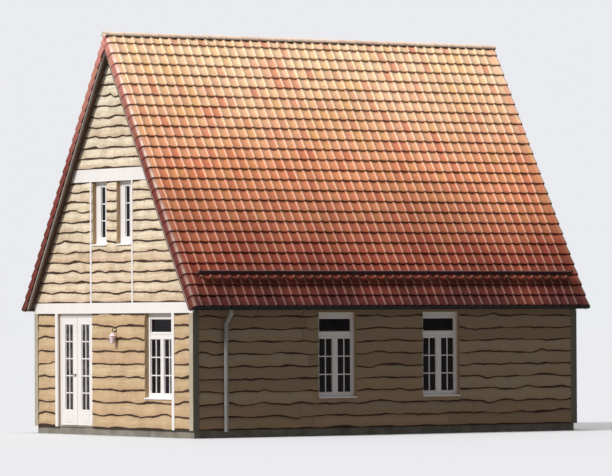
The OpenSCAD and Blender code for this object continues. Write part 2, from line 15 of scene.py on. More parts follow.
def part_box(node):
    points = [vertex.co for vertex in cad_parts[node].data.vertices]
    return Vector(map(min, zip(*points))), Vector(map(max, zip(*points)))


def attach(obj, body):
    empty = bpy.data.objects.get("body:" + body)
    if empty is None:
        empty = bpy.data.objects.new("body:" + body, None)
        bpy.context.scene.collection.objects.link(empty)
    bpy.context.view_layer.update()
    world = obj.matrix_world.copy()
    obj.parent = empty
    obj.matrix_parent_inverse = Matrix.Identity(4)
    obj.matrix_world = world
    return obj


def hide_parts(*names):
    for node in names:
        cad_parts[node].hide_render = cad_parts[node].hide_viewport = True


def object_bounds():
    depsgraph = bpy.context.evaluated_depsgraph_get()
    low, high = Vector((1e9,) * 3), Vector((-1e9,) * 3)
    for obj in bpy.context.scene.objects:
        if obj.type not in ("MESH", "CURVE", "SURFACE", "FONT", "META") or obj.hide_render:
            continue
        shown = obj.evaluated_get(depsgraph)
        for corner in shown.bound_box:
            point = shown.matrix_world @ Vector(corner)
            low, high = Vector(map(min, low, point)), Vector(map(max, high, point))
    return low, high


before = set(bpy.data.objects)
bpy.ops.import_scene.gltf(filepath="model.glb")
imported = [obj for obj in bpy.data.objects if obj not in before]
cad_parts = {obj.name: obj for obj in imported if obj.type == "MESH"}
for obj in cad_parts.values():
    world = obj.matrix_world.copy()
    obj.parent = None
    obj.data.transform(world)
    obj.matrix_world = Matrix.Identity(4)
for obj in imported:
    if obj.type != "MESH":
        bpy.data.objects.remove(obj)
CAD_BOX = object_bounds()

bl_info = {
    "name": "Boathouse Cottage Looks",
    "version": (1, 0, 0),
    "blender": (4, 5, 0),
    "location": "3D View > Sidebar > Boathouse",
    "description": "Dresses the boathouse cottage with tiles, boards, glazing bars and finishes",
    "category": "Object",
}

HOUSE = "house"
LEFT_DOOR = "left_door"
RIGHT_DOOR = "right_door"
SEEDS = {"pantiles_left": 10, "pantiles_right": 12, "verge_tiles": 5, "ridge_tiles": 3,
         "boards_front": 21, "boards_back": 22, "boards_right": 41, "boards_left": 42}


def srgb(red, green, blue):
    """A colour given as 0 to 255 screen values, as the linear values that Blender takes."""
    def linear(value):
        value = value / 255
        return value / 12.92 if value <= 0.04045 else ((value + 0.055) / 1.055) ** 2.4
    return (linear(red), linear(green), linear(blue))


def length_field(name, description, default):
    """A length in metres that a user can change."""
    return bpy.props.FloatProperty(name=name, description=description, default=default, unit="LENGTH")


def colour_field(name, description, *screen):
    """A colour that a user can change; its default is given as 0 to 255 screen values."""
    return bpy.props.FloatVectorProperty(name=name, description=description, subtype="COLOR",
                                         default=srgb(*screen))


class RoofSizes(bpy.types.PropertyGroup):
    """Sizes of the roof covering."""

    deck: length_field("Deck", "Thickness of rafters and boarding", 0.130)
    tile_height: length_field("Tile height", "Height of a course's edge over the boarding", 0.088)
    gauge: length_field("Gauge", "Length of slope that a course covers", 0.245)
    step: length_field("Step", "Step from one course down to the next", 0.024)
    reach: length_field("Reach", "Reach of the tiles beyond the side wall", 0.300)
    tile_width: length_field("Tile width", "Width that each tile covers", 0.215)
    lift: length_field("Lift", "Height of a pan over the plain course", 0.008)
    tile_thick: length_field("Tile thickness", "Thickness of a tile's lower edge", 0.020)
    verge_width: length_field("Verge width", "Width of the verge tiles on the roof", 0.160)
    verge_depth: length_field("Verge depth", "Depth of the verge tiles' fronts", 0.180)
    ridge_length: length_field("Ridge tile", "Length of a ridge tile", 0.400)
    guard_up: length_field("Guard place", "Distance up the slope to the snow guard", 0.700)
    guard_clear: length_field("Guard clearance", "Clear height under the snow guard's rail", 0.040)
    guard_height: length_field("Guard height", "Height of the snow guard's rail", 0.130)
    guard_thick: length_field("Guard thickness", "Thickness of the snow guard's rail", 0.022)


class BoardSizes(bpy.types.PropertyGroup):
    """Sizes of the waney-edge boards, and of the openings and bands that they stop at."""

    upper_rows: length_field("Upper rows", "Height of board that shows on the gables", 0.2015)
    lower_rows: length_field("Lower rows", "Height of board that shows on the ground floor", 0.252)
    thick: length_field("Thick edge", "Thickness of a board at its lower edge", 0.028)
    thin: length_field("Thin edge", "Thickness of a board at its top", 0.005)
    # The bark is left tall, so that its dark colour also paints part of the shadow under each board's
    # edge.
    bark: length_field("Bark", "Height of the bark left on the lower edge", 0.028)
    wave: length_field("Wave", "Usual depth of the waves in the lower edge", 0.013)
    lap: length_field("Lap", "How far a board runs up behind the one above it", 0.050)
    tuck: length_field("Tuck", "Height of the board edges that show under the bands", 0.026)
    corner: length_field("Corner", "Width of the corner boards", 0.110)
    trim: length_field("Trim", "Width of the trim beside the doors and windows", 0.095)
    window_x: length_field("Window place", "Middle of the gable walls' ground floor windows", 1.740)
    window_w: length_field("Window width", "Width of the gable walls' ground floor windows", 1.010)
    side_window_y: length_field("Side window place", "Middle of the side windows", 1.250)
    side_window_w: length_field("Side window width", "Width of the side windows", 0.900)
    sill: length_field("Sill", "Height of the window sills above the floor", 0.600)
    slit_x: length_field("Narrow window place", "Middle of a narrow gable window", 0.465)
    slit_w: length_field("Narrow window width", "Width of the narrow windows", 0.550)
    slit_sill: length_field("Narrow window sill", "Height of the narrow windows' sills", 3.640)
    upper_band: length_field("Upper band", "Height of the upper band above the floor", 4.910)
    upper_band_w: length_field("Upper band width", "Width of the upper band", 0.250)
    batten_x: length_field("Batten place", "Distance of the gable battens from the middle", 0.790)
    batten_w: length_field("Batten width", "Width of the gable battens", 0.055)


class JoinerySizes(bpy.types.PropertyGroup):
    """Sizes of the glazing bars, beads and sashes."""

    bar_width: length_field("Bar width", "Width of the glazing bars", 0.026)
    bar_depth: length_field("Bar depth", "Depth of the glazing bars in front of the glass", 0.014)
    sash_width: length_field("Sash width", "Width of the casements' sashes", 0.036)
    sash_proud: length_field("Sash proud", "How far a sash stands in front of its frame", 0.006)


class Finishes(bpy.types.PropertyGroup):
    """Colours of the house."""

    board: colour_field("Gable boards", "Sun bleached boards of the gables", 243, 227, 201)
    board_low: colour_field("Ground floor boards", "Browner boards lower down", 211, 187, 148)
    board_pale: colour_field("High boards", "Paler boards high on the gables", 255, 249, 228)
    # Greyer from weathering, and darker still as painted shade on the side walls.
    board_side_shaded: colour_field("Side boards", "Side walls' greyer boards, darker in painted shade", 136, 120, 98)
    board_warm: colour_field("Warm boards", "Pinkish boards among the others", 216, 178, 148)
    bark: colour_field("Bark", "Bark and dark gaps", 72, 48, 36)
    white: colour_field("White paint", "Bands, frames and doors", 244, 240, 240)
    corner: colour_field("Corner boards", "Weathered pale paint", 192, 182, 164)
    # From the ridge down to the eaves the tiles darken partly from weathering and partly as painted
    # light: painted sunlight near the ridge and painted shade near the eaves.
    tile_top: colour_field("Tiles at the ridge", "Tiles sun bleached and in painted sunlight", 255, 219, 180)
    tile_mid: colour_field("Tiles", "Tiles half way up", 228, 151, 109)
    tile_low: colour_field("Tiles near the snow guard", "Deep red tiles", 154, 70, 50)
    tile_eaves: colour_field("Tiles at the eaves", "Dark, wet tiles in painted shade", 76, 20, 22)
    tile_gold: colour_field("Golden tiles", "Yellowish tiles between the red ones", 236, 184, 112)
    tile_red: colour_field("Red tiles", "Redder tiles between the others", 210, 102, 76)
    # The verge fronts are a darker copy of the tile clay, as painted shade; they grow paler towards the
    # ridge partly as painted sunlight.
    verge: colour_field("Verge tiles", "Edge tiles' dull red fronts in painted shade", 128, 60, 54)
    verge_top: colour_field("Upper verge tiles", "Paler fronts near the ridge", 212, 144, 134)
    ridge: colour_field("Ridge tiles", "Pale ridge tiles", 230, 208, 190)
    barge: colour_field("Barge boards", "Weathered dark timber", 112, 92, 84)
    gutter: colour_field("Gutters", "Dark gutters", 11, 14, 16)


class Walls:
    """Planes and heights of the house, read from the frame."""

    def __init__(self):
        self.half_w = -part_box("left_side_wall")[0][0]
        gable_low, gable_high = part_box("front_gable")
        self.half_l = -gable_low[1]
        self.head_z = gable_low[2]
        self.peak_z = gable_high[2]
        self.floor_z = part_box("ground_floor")[1][2]
        self.wall_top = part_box("attic_floor")[1][2]
        pitch = math.atan((self.peak_z - self.wall_top) / self.half_w)
        self.sin_p = math.sin(pitch)
        self.cos_p = math.cos(pitch)

    def under_roof(self, z):
        """Half width of the gable under the rafters at this height."""
        return (self.peak_z - z) * self.cos_p / self.sin_p

    def slope(self, side, s, y, n):
        """World point at s down the slope and n above the rafters' underside, on side -1 or 1."""
        x = s * self.cos_p + n * self.sin_p
        return (side * x, y, self.peak_z - s * self.sin_p + n * self.cos_p)


WALLS = Walls()
RIDGE_CLEAR = 0.010  # from the meeting of the two boardings down to the tiles
SHORTEST_COURSE = 0.020  # a course under the ridge that would show less is left out
HEAD_LAP = 0.012  # how far a course starts behind the edge of the one above


class Slope:
    """Lines of the tiled slope, worked out from the roof sizes.

    The covering runs from top_s to eave_s, and its courses' lower edges are tile_n high. It ends at
    outer_y, the single tiles at field_y, and each of them is a column wide.
    """

    def __init__(self):
        roof = bpy.context.scene.cottage_roof
        self.roof = roof
        self.tile_n = roof.deck + roof.tile_height
        eave_x = WALLS.half_w + roof.reach
        self.eave_s = (eave_x - self.tile_n * WALLS.sin_p) / WALLS.cos_p
        self.top_s = -roof.deck * WALLS.sin_p / WALLS.cos_p + RIDGE_CLEAR
        self.outer_y = CAD_BOX[1][1]
        self.field_y = self.outer_y - roof.verge_width
        self.columns = round(2 * self.field_y / roof.tile_width)
        self.column = 2 * self.field_y / self.columns

    def butts(self):
        """Places down the slope of the courses' lower edges, from the eaves up."""
        s = self.eave_s
        while s > self.top_s + SHORTEST_COURSE:
            yield s
            s -= self.roof.gauge

    def head(self, butt_s):
        """Where a course starts, a little way behind the one above."""
        return max(butt_s - self.roof.gauge, self.top_s) - HEAD_LAP

    def fall(self, s, butt_s):
        """How far a course's surface lies under its lower edge's height at s."""
        return self.roof.step * (butt_s - min(s, butt_s)) / self.roof.gauge


class Shape:
    """Collects points and faces and turns them into one object.

    Each point carries its marks: a tone of its own piece, how far it lies under a lap or edge,
    where clay takes painted shade and boards turn browner, and how much painted highlight it
    takes on a crest.
    """

    def __init__(self, name):
        self.name = name
        self.points = []
        self.faces = []
        self.slots = []
        self.wear = []

    def add(self, points, faces, slot=0, tone=0.5, laps=None, crests=None):
        """Adds points and the faces between them; slot is one material or a list, face by face."""
        start = len(self.points)
        self.points.extend(points)
        self.faces.extend(tuple(start + i for i in face) for face in faces)
        self.slots.extend(slot if isinstance(slot, list) else [slot] * len(faces))
        none = [0.0] * len(points)
        for lap, crest in zip(laps or none, crests or none):
            self.wear.extend((tone, lap, crest))

    def build(self, materials, body=HOUSE, smooth=False, turn_out=True):
        """Makes the object, gives it its materials and lets it ride on a body.

        Where turn_out is set, the faces of its closed bodies are turned to face outward.
        """
        mesh = bpy.data.meshes.new(self.name)
        mesh.from_pydata(self.points, [], self.faces)
        for material in materials:
            mesh.materials.append(MATERIALS[material])
        mesh.polygons.foreach_set("material_index", self.slots)
        mesh.polygons.foreach_set("use_smooth", [smooth] * len(self.faces))
        mesh.attributes.new("wear", "FLOAT_VECTOR", "POINT").data.foreach_set("vector", self.wear)
        if turn_out:
            turned = bmesh.new()
            turned.from_mesh(mesh)
            bmesh.ops.recalc_face_normals(turned, faces=turned.faces)
            turned.to_mesh(mesh)
            turned.free()
        mesh.update()
        piece = bpy.data.objects.new(self.name, mesh)
        bpy.context.scene.collection.objects.link(piece)
        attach(piece, body)
        return piece


BOX_FACES = [(0, 3, 2, 1), (4, 5, 6, 7), (0, 1, 5, 4), (1, 2, 6, 5), (2, 3, 7, 6), (3, 0, 4, 7)]


def add_block(shape, low, high):
    """Adds a block between two corners."""
    (x0, y0, z0), (x1, y1, z1) = low, high
    shape.add([(x, y, z) for z in (z0, z1) for x, y in ((x0, y0), (x1, y0), (x1, y1), (x0, y1))],
              BOX_FACES)


def slope_block(shape, side, low, high, slot=0):
    """A block set on a slope, between two corners given as (s, y, n)."""
    corners = [(low[0], low[1]), (high[0], low[1]), (high[0], high[1]), (low[0], high[1])]
    points = [WALLS.slope(side, s, y, n) for n in (low[2], high[2]) for s, y in corners]
    shape.add(points, BOX_FACES, slot)


def add_rings(shape, rings, slot=0, tone=0.5, laps=None, crests=None):
    """Joins rings of points, each of the same number, into one body with closed ends."""
    count = len(rings[0])
    faces = []
    for i in range(len(rings) - 1):
        for j in range(count):
            a = i * count + j
            b = i * count + (j + 1) % count
            faces.append((a, b, b + count, a + count))
    faces.append(tuple(reversed(range(count))))
    faces.append(tuple(range((len(rings) - 1) * count, len(rings) * count)))
    shape.add([point for ring in rings for point in ring], faces, slot, tone, laps, crests)


def circle(sides):
    """Cosine and sine of each corner of a regular polygon."""
    angles = [2 * math.pi * k / sides for k in range(sides)]
    return [(math.cos(angle), math.sin(angle)) for angle in angles]


def add_tube(shape, path, radius, sides=10, slot=0):
    """A round bar along a path of points."""
    path = [Vector(point) for point in path]
    rings = []
    across = None
    for i, point in enumerate(path):
        along = (path[min(i + 1, len(path) - 1)] - path[max(i - 1, 0)]).normalized()
        if across is None:
            start = Vector((0, 0, 1)) if abs(along.z) < 0.9 else Vector((0, 1, 0))
            across = along.cross(start).normalized()
        across = (across - along * across.dot(along)).normalized()
        other = along.cross(across)
        rings.append([tuple(point + (across * cos + other * sin) * radius)
                      for cos, sin in circle(sides)])
    add_rings(shape, rings, slot)


def add_lathe(shape, centre, profile, sides=32):
    """A turned body about a vertical axis; profile lists (radius, height) from the bottom up."""
    x, y, z = centre
    add_rings(shape, [[(x + radius * cos, y + radius * sin, z + height) for cos, sin in circle(sides)]
                      for radius, height in profile])


def solids_of(node):
    """Boxes of the separate solids of a node, as (low, high) corners."""
    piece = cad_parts[node]
    places = [piece.matrix_world @ vertex.co for vertex in piece.data.vertices]
    keys = [tuple(round(value, 5) for value in place) for place in places]
    parent = {key: key for key in keys}

    def root(key):
        while parent[key] != key:
            parent[key] = parent[parent[key]]
            key = parent[key]
        return key

    for polygon in piece.data.polygons:
        first = root(keys[polygon.vertices[0]])
        for index in polygon.vertices[1:]:
            parent[root(keys[index])] = first
    groups = {}
    for key in keys:
        groups.setdefault(root(key), []).append(key)
    boxes = [(tuple(min(axis) for axis in zip(*group)), tuple(max(axis) for axis in zip(*group)))
             for group in groups.values()]
    return sorted(boxes)


def feed(tree, socket, value):
    """Links a socket to another one, or gives it a plain value or colour."""
    if isinstance(value, bpy.types.NodeSocket):
        tree.links.new(value, socket)
    elif socket.type == "RGBA":
        socket.default_value = (*value, 1.0)
    else:
        socket.default_value = value


def add_node(tree, kind, inputs):
    """A new shader node, with a socket or a plain value fed to each input that is named."""
    node = tree.nodes.new("ShaderNode" + kind)
    for name, value in inputs.items():
        feed(tree, node.inputs[name], value)
    return node


def noise_node(tree, vector, scale, detail, distortion=0.0):
    """The value of a noise texture at the given vector."""
    node = add_node(tree, "TexNoise", {"Vector": vector, "Scale": scale, "Detail": detail,
                                       "Distortion": distortion})
    return node.outputs["Fac"]


def range_node(tree, value, low, high, to_low=0.0, to_high=1.0):
    """Maps a value from one range to another and clamps it."""
    node = add_node(tree, "MapRange", {"Value": value, "From Min": low, "From Max": high,
                                       "To Min": to_low, "To Max": to_high})
    return node.outputs["Result"]


def mix_node(tree, factor, first, second, blend="MIX"):
    """A colour mix; each of factor, first and second is a socket or a plain value."""
    node = tree.nodes.new("ShaderNodeMix")
    node.data_type = "RGBA"
    node.blend_type = blend
    feed(tree, node.inputs["Factor"], factor)
    feed(tree, node.inputs["A"], first)
    feed(tree, node.inputs["B"], second)
    return node.outputs["Result"]


def math_node(tree, operation, first, second, kind="Math"):
    """A math node on two sockets or values; the kind VectorMath works on vectors."""
    node = tree.nodes.new("ShaderNode" + kind)
    node.operation = operation
    feed(tree, node.inputs[0], first)
    feed(tree, node.inputs[1], second)
    return node.outputs[0]


def times(tree, first, second):
    """One value times the other."""
    return math_node(tree, "MULTIPLY", first, second)


def weighted(tree, first, second, share):
    """The share of the first value and the rest of the second one, added."""
    return math_node(tree, "ADD", times(tree, first, share), times(tree, second, 1.0 - share))


def ramp_node(tree, value, stops):
    """Colours along a value from 0 to 1; stops lists (place, colour) in order."""
    node = add_node(tree, "ValToRGB", {"Fac": value})
    marks = node.color_ramp.elements
    marks[0].position, marks[-1].position = stops[0][0], stops[-1][0]
    for place, _ in stops[1:-1]:
        marks.new(place)
    for mark, (_, colour) in zip(marks, stops):
        mark.color = (*colour, 1.0)
    return node.outputs["Color"]


def split_node(tree, vector):
    """The parts of a vector, as sockets named X, Y and Z."""
    return add_node(tree, "SeparateXYZ", {"Vector": vector}).outputs


def coordinate(tree, name="Object"):
    """A texture coordinate: Object is the place on the object itself, in metres."""
    return tree.nodes.new("ShaderNodeTexCoord").outputs[name]


def tone_lap_crest_of(tree):
    """The tone, lap and crest that a built mesh carries; the lap sets painted shade on clay and a
    browner edge on boards, the crest a painted highlight.
    """
    node = tree.nodes.new("ShaderNodeAttribute")
    node.attribute_name = "wear"
    parts = split_node(tree, node.outputs["Vector"])
    return parts["X"], parts["Y"], parts["Z"]


def timber_grain(tree, given):
    """Wood grain: long streaks and fine fibres, with a height for the bump."""
    vector = math_node(tree, "MULTIPLY", coordinate(tree), given["Stretch"], "VectorMath")
    streaks = range_node(tree, noise_node(tree, vector, 1.0, 8.0, 0.6), 0.42, 0.72)
    fibres = range_node(tree, noise_node(tree, vector, 6.0, 4.0, 0.2), 0.35, 0.75)
    mask = weighted(tree, streaks, fibres, 0.65)
    return {"Color": mix_node(tree, times(tree, mask, given["Amount"]), given["Color"], given["Dark"]),
            "Height": math_node(tree, "SUBTRACT", 1.0, mask)}


def weathering(tree, given):
    """Dirt in soft patches and specks, with its mask."""
    vector = math_node(tree, "MULTIPLY", coordinate(tree), given["Scale"], "VectorMath")
    patches = range_node(tree, noise_node(tree, vector, 1.0, 5.0), 0.42, 0.68)
    specks = range_node(tree, noise_node(tree, vector, 9.0, 6.0), 0.48, 0.72)
    mask = weighted(tree, patches, specks, 0.6)
    return {"Color": mix_node(tree, times(tree, mask, given["Amount"]), given["Color"], given["Dirt"]),
            "Mask": mask}


def roof_height(tree, given):
    """How high a place is on the roof, from 0 at the eaves to 1 at the ridge, with a soft wander."""
    place = coordinate(tree)
    wander = noise_node(tree, place, 0.7, 3.0)
    height = math_node(tree, "ADD", split_node(tree, place)["Z"],
                       range_node(tree, wander, 0.25, 0.75, -0.45, 0.45))
    return {"Height": range_node(tree, height, WALLS.wall_top - 0.1, WALLS.peak_z + 0.2),
            "Wander": wander}


EFFECTS = {
    timber_grain: ({"Stretch": ("Vector", (1.0, 1.0, 1.0)), "Color": ("Color", (1, 1, 1, 1)),
                    "Dark": ("Color", (0, 0, 0, 1)), "Amount": ("Float", 0.4)},
                   {"Color": "Color", "Height": "Float"}),
    weathering: ({"Color": ("Color", (1, 1, 1, 1)), "Dirt": ("Color", (0.1, 0.08, 0.06, 1)),
                  "Amount": ("Float", 0.3), "Scale": ("Float", 3.0)},
                 {"Color": "Color", "Mask": "Float"}),
    roof_height: ({}, {"Height": "Float", "Wander": "Float"}),
}


def effect_group(effect):
    """The shader node group of an effect, built the first time that it is asked for."""
    name = effect.__name__.replace("_", " ")
    if name in bpy.data.node_groups:
        return bpy.data.node_groups[name]
    group = bpy.data.node_groups.new(name, "ShaderNodeTree")
    inputs, outputs = EFFECTS[effect]
    for label, (kind, default) in inputs.items():
        socket = group.interface.new_socket(label, in_out="INPUT", socket_type="NodeSocket" + kind)
        socket.default_value = default
    for label, kind in outputs.items():
        group.interface.new_socket(label, in_out="OUTPUT", socket_type="NodeSocket" + kind)
    entry = group.nodes.new("NodeGroupInput")
    leave = group.nodes.new("NodeGroupOutput")
    for label, value in effect(group, entry.outputs).items():
        group.links.new(value, leave.inputs[label])
    return group


def place_effect(tree, effect, **values):
    """Puts an effect's node group in a material and feeds its sockets; gives its outputs."""
    node = tree.nodes.new("ShaderNodeGroup")
    node.node_tree = effect_group(effect)
    for name, value in values.items():
        feed(tree, node.inputs[name], value)
    return node.outputs


def new_material(name, roughness, metallic=0.0):
    """A material with a Principled shader; gives the material, its tree and the shader."""
    material = bpy.data.materials.new(name)
    material.use_nodes = True
    tree = material.node_tree
    shader = tree.nodes["Principled BSDF"]
    shader.inputs["Roughness"].default_value = roughness
    shader.inputs["Metallic"].default_value = metallic
    return material, tree, shader


def dress(tree, shader, colour, height, strength, distance):
    """Feeds the shader its colour, and its normal through a bump made from a height."""
    tree.links.new(colour, shader.inputs["Base Color"])
    bump = add_node(tree, "Bump", {"Strength": strength, "Distance": distance, "Height": height})
    tree.links.new(bump.outputs["Normal"], shader.inputs["Normal"])


ALONG_X = (1.4, 9.0, 22.0)
ALONG_Y = (9.0, 1.4, 22.0)
UPRIGHT = (26.0, 26.0, 1.6)
BARK_GRAIN = (9.0, 9.0, 20.0)
BARGE_GRAIN = (5.0, 9.0, 5.0)


def board_material(name, colour, stretch):
    """Weathered waney-edge boards, each a little warmer or paler than the next."""
    finish = bpy.context.scene.cottage_finishes
    straw, lower_edge_brown = srgb(246, 232, 200), srgb(160, 118, 82)
    material, tree, shader = new_material(name, 0.8)
    tone, lap, _ = tone_lap_crest_of(tree)
    roof = place_effect(tree, roof_height)
    bleached = mix_node(tree, range_node(tree, roof["Height"], 0.1, 0.8, 0.0, 0.8), colour,
                        finish.board_pale)
    warm = mix_node(tree, range_node(tree, tone, 0.5, 1.0, 0.0, 0.45), bleached, finish.board_warm)
    pale = mix_node(tree, range_node(tree, tone, 0.5, 0.0, 0.0, 0.35), warm, straw)
    grain = place_effect(tree, timber_grain, Stretch=stretch, Color=pale, Dark=srgb(176, 142, 106),
                         Amount=0.62)
    weather = place_effect(tree, weathering, Color=grain["Color"], Dirt=srgb(160, 134, 104),
                           Amount=0.6, Scale=3.6)
    # Browner towards each board's lower edge.
    edge = mix_node(tree, range_node(tree, lap, 0.5, 1.0, 0.0, 0.45), weather["Color"], lower_edge_brown)
    dress(tree, shader, edge, grain["Height"], 0.4, 0.005)
    return material


def wood_material(name, colour, dark, stretch, amount=0.5, roughness=0.7, sideways_shade=None):
    """Plain timber in one colour, with grain and weathering; its last colour, where given, is painted
    shade on what faces sideways.
    """
    material, tree, shader = new_material(name, roughness)
    grain = place_effect(tree, timber_grain, Stretch=stretch, Color=colour, Dark=dark, Amount=amount)
    weather = place_effect(tree, weathering, Color=grain["Color"], Dirt=dark, Amount=0.3, Scale=3.0)
    finished = weather["Color"]
    if sideways_shade:
        # Painted shade on the faces that look sideways.
        sideways = math_node(tree, "ABSOLUTE", split_node(tree, coordinate(tree, "Normal"))["X"], 0.0)
        finished = mix_node(tree, range_node(tree, sideways, 0.3, 0.7, 0.0, 0.85), finished, sideways_shade)
    dress(tree, shader, finished, grain["Height"], 0.3, 0.003)
    return material


def paint_material(name, colour, dirt, amount=0.25, roughness=0.45, metallic=0.0):
    """Painted surface with faint dirt, which is also rougher."""
    material, tree, shader = new_material(name, roughness, metallic)
    weather = place_effect(tree, weathering, Color=colour, Dirt=dirt, Amount=amount, Scale=4.0)
    rough = range_node(tree, weather["Mask"], 0.0, 1.0, roughness - 0.08, roughness + 0.15)
    tree.links.new(rough, shader.inputs["Roughness"])
    dress(tree, shader, weather["Color"], weather["Mask"], 0.12, 0.002)
    return material


def clay_material(name, stops, tint, shine):
    """Clay that is darker to the eaves and paler to the ridge, partly from weathering and partly as
    painted shade low down and painted sunlight high up, with a painted highlight on the crests
    and painted shade under each lap.

    Stops list the colours from the eaves up; tint is how much single tiles turn gold or red, and
    shine how strong the painted highlight on the crests is.
    """
    finish = bpy.context.scene.cottage_finishes
    # The third colour is painted shade under each lap and edge; sunlit is the colour of the crests'
    # painted highlight.
    dulled, sunlit, painted_shade = (0.62, 0.56, 0.56), (1.0, 0.84, 0.70), srgb(50, 22, 18)
    material, tree, shader = new_material(name, 0.75)
    shader.inputs["Specular IOR Level"].default_value = 0.25
    roof = place_effect(tree, roof_height)
    tone, lap, crest = tone_lap_crest_of(tree)
    base = ramp_node(tree, roof["Height"], stops)
    mood = math_node(tree, "ADD", tone, range_node(tree, roof["Wander"], 0.3, 0.7, -0.25, 0.25))
    golden = times(tree, range_node(tree, mood, 0.45, 0.0, 0.0, tint),
                   range_node(tree, roof["Height"], 0.15, 0.6, 0.35, 1.0))
    gold = mix_node(tree, golden, base, finish.tile_gold, "COLOR")
    reddened = range_node(tree, mood, 0.55, 1.0, 0.0, tint)
    red = mix_node(tree, reddened, gold, finish.tile_red, "COLOR")
    dull = mix_node(tree, range_node(tree, tone, 0.5, 1.0, 0.0, 0.3), red, dulled, "MULTIPLY")
    weather = place_effect(tree, weathering, Color=dull, Dirt=srgb(96, 62, 48), Amount=0.28, Scale=4.5)
    # The colour of the painted highlight on the crests, stronger towards the ridge.
    light = mix_node(tree, range_node(tree, roof["Height"], 0.0, 0.7, 0.14, 0.80), base, sunlit)
    crest_highlit = mix_node(tree, times(tree, crest, shine), weather["Color"], light)
    # Painted shade under each lap, weaker near the ridge.
    lap_shade_share = times(tree, range_node(tree, lap, 0.3, 1.0, 0.0, 0.9),
                 range_node(tree, roof["Height"], 0.5, 0.9, 1.0, 0.72))
    shaded = mix_node(tree, lap_shade_share, crest_highlit, painted_shade)
    dress(tree, shader, shaded, noise_node(tree, coordinate(tree), 60.0, 4.0), 0.22, 0.003)
    return material


def stone_material():
    """Rough stone and cement of the plinth and threshold."""
    material, tree, shader = new_material("plinth stone", 0.85)
    weather = place_effect(tree, weathering, Color=srgb(150, 144, 134), Dirt=srgb(88, 86, 74),
                           Amount=0.8, Scale=4.0)
    dress(tree, shader, weather["Color"], noise_node(tree, coordinate(tree), 14.0, 8.0), 0.6, 0.02)
    return material


def glass_material(name, dark, pale, ior):
    """Glazing in front of a dim room, as seen from outside in daylight: painted dark for the room
    behind it, with painted reflections in soft patches.
    """
    material, tree, shader = new_material(name, 0.05)
    shader.inputs["IOR"].default_value = ior
    # Soft patches of painted reflection over the glass's painted dark.
    reflection_mask = range_node(tree, noise_node(tree, coordinate(tree), 7.0, 4.0), 0.4, 0.65)
    ripple = noise_node(tree, coordinate(tree), 2.5, 2.0)
    dress(tree, shader, mix_node(tree, reflection_mask, dark, pale), ripple, 0.04, 0.01)
    return material


MATERIALS = {}


def make_materials():
    """Makes every finish once."""
    finish = bpy.context.scene.cottage_finishes
    # The height ramp is partly weathering and partly painted sunlight above and painted shade below.
    tile_stops = [(0.0, finish.tile_eaves), (0.20, finish.tile_low), (0.52, finish.tile_mid),
                  (0.92, finish.tile_top)]
    # The verge fronts darken towards the eaves partly from wet and partly as painted shade.
    wet_and_shade_share = 0.62
    verge_low = tuple(value * wet_and_shade_share for value in finish.verge)
    verge_stops = [(0.0, verge_low), (0.5, finish.verge), (1.0, finish.verge_top)]
    ridge_stops = [(0.0, finish.verge), (0.9, finish.ridge), (1.0, finish.ridge)]
    MATERIALS.update({
        "gable_boards": board_material("gable boards", finish.board, ALONG_X),
        "ground_boards": board_material("ground floor boards", finish.board_low, ALONG_X),
        "shaded_side_boards": board_material("side boards in painted shade", finish.board_side_shaded, ALONG_Y),
        "bark": wood_material("bark", finish.bark, srgb(40, 26, 20), BARK_GRAIN, 0.7, 0.9),
        "wall": wood_material("wall timber", srgb(190, 160, 122), srgb(112, 84, 58), UPRIGHT),
        "floor": wood_material("floor boards", srgb(170, 132, 92), srgb(96, 66, 42), ALONG_Y),
        # The corner boards' sides get painted shade.
        "corner": wood_material("corner paint", finish.corner, srgb(136, 122, 100), UPRIGHT, 0.55,
                                sideways_shade=srgb(84, 84, 70)),
        "rafters": wood_material("dark rafters", srgb(98, 74, 60), srgb(34, 24, 18), ALONG_Y, 0.6),
        "barge": wood_material("barge timber", finish.barge, srgb(60, 46, 42), BARGE_GRAIN, 0.6),
        # The pale strips are also a painted highlight along the barge boards' edge.
        "strip": wood_material("pale strip", srgb(190, 190, 184), srgb(120, 118, 110), ALONG_Y),
        "tiles": clay_material("roof tile clay", tile_stops, 0.5, 0.8),
        "verge": clay_material("verge clay in painted shade", verge_stops, 0.25, 1.0),
        "ridge": clay_material("ridge tile clay", ridge_stops, 0.15, 0.5),
        "white": paint_material("white paint", finish.white, srgb(208, 200, 202)),
        "seal": paint_material("dark filling", srgb(34, 24, 20), srgb(16, 12, 10), 0.4, 0.9),
        "gutter": paint_material("dark gutter paint", finish.gutter, srgb(30, 34, 32), 0.3, 0.5),
        "zinc": paint_material("dull zinc", srgb(168, 168, 168), srgb(116, 114, 110), 0.5, 0.5, 0.3),
        "guard": paint_material("snow guard paint", srgb(66, 48, 56), srgb(40, 28, 34), 0.5, 0.5),
        "rail": paint_material("rail paint", srgb(122, 84, 86), srgb(84, 56, 60), 0.4, 0.5),
        "metal": paint_material("satin metal", srgb(150, 148, 150), srgb(90, 88, 86), 0.3, 0.35, 0.8),
        "iron": paint_material("dark iron", srgb(44, 36, 40), srgb(26, 22, 22), 0.4, 0.5),
        "lamp": paint_material("lamp paint", srgb(244, 224, 234), srgb(186, 160, 168), 0.3, 0.4),
        "stone": stone_material(),
        "glass": glass_material("window glass", srgb(8, 5, 9), srgb(26, 19, 28), 1.30),
        "door_glass": glass_material("door panes with painted reflections", srgb(26, 24, 28), srgb(84, 78, 84), 1.45),
    })


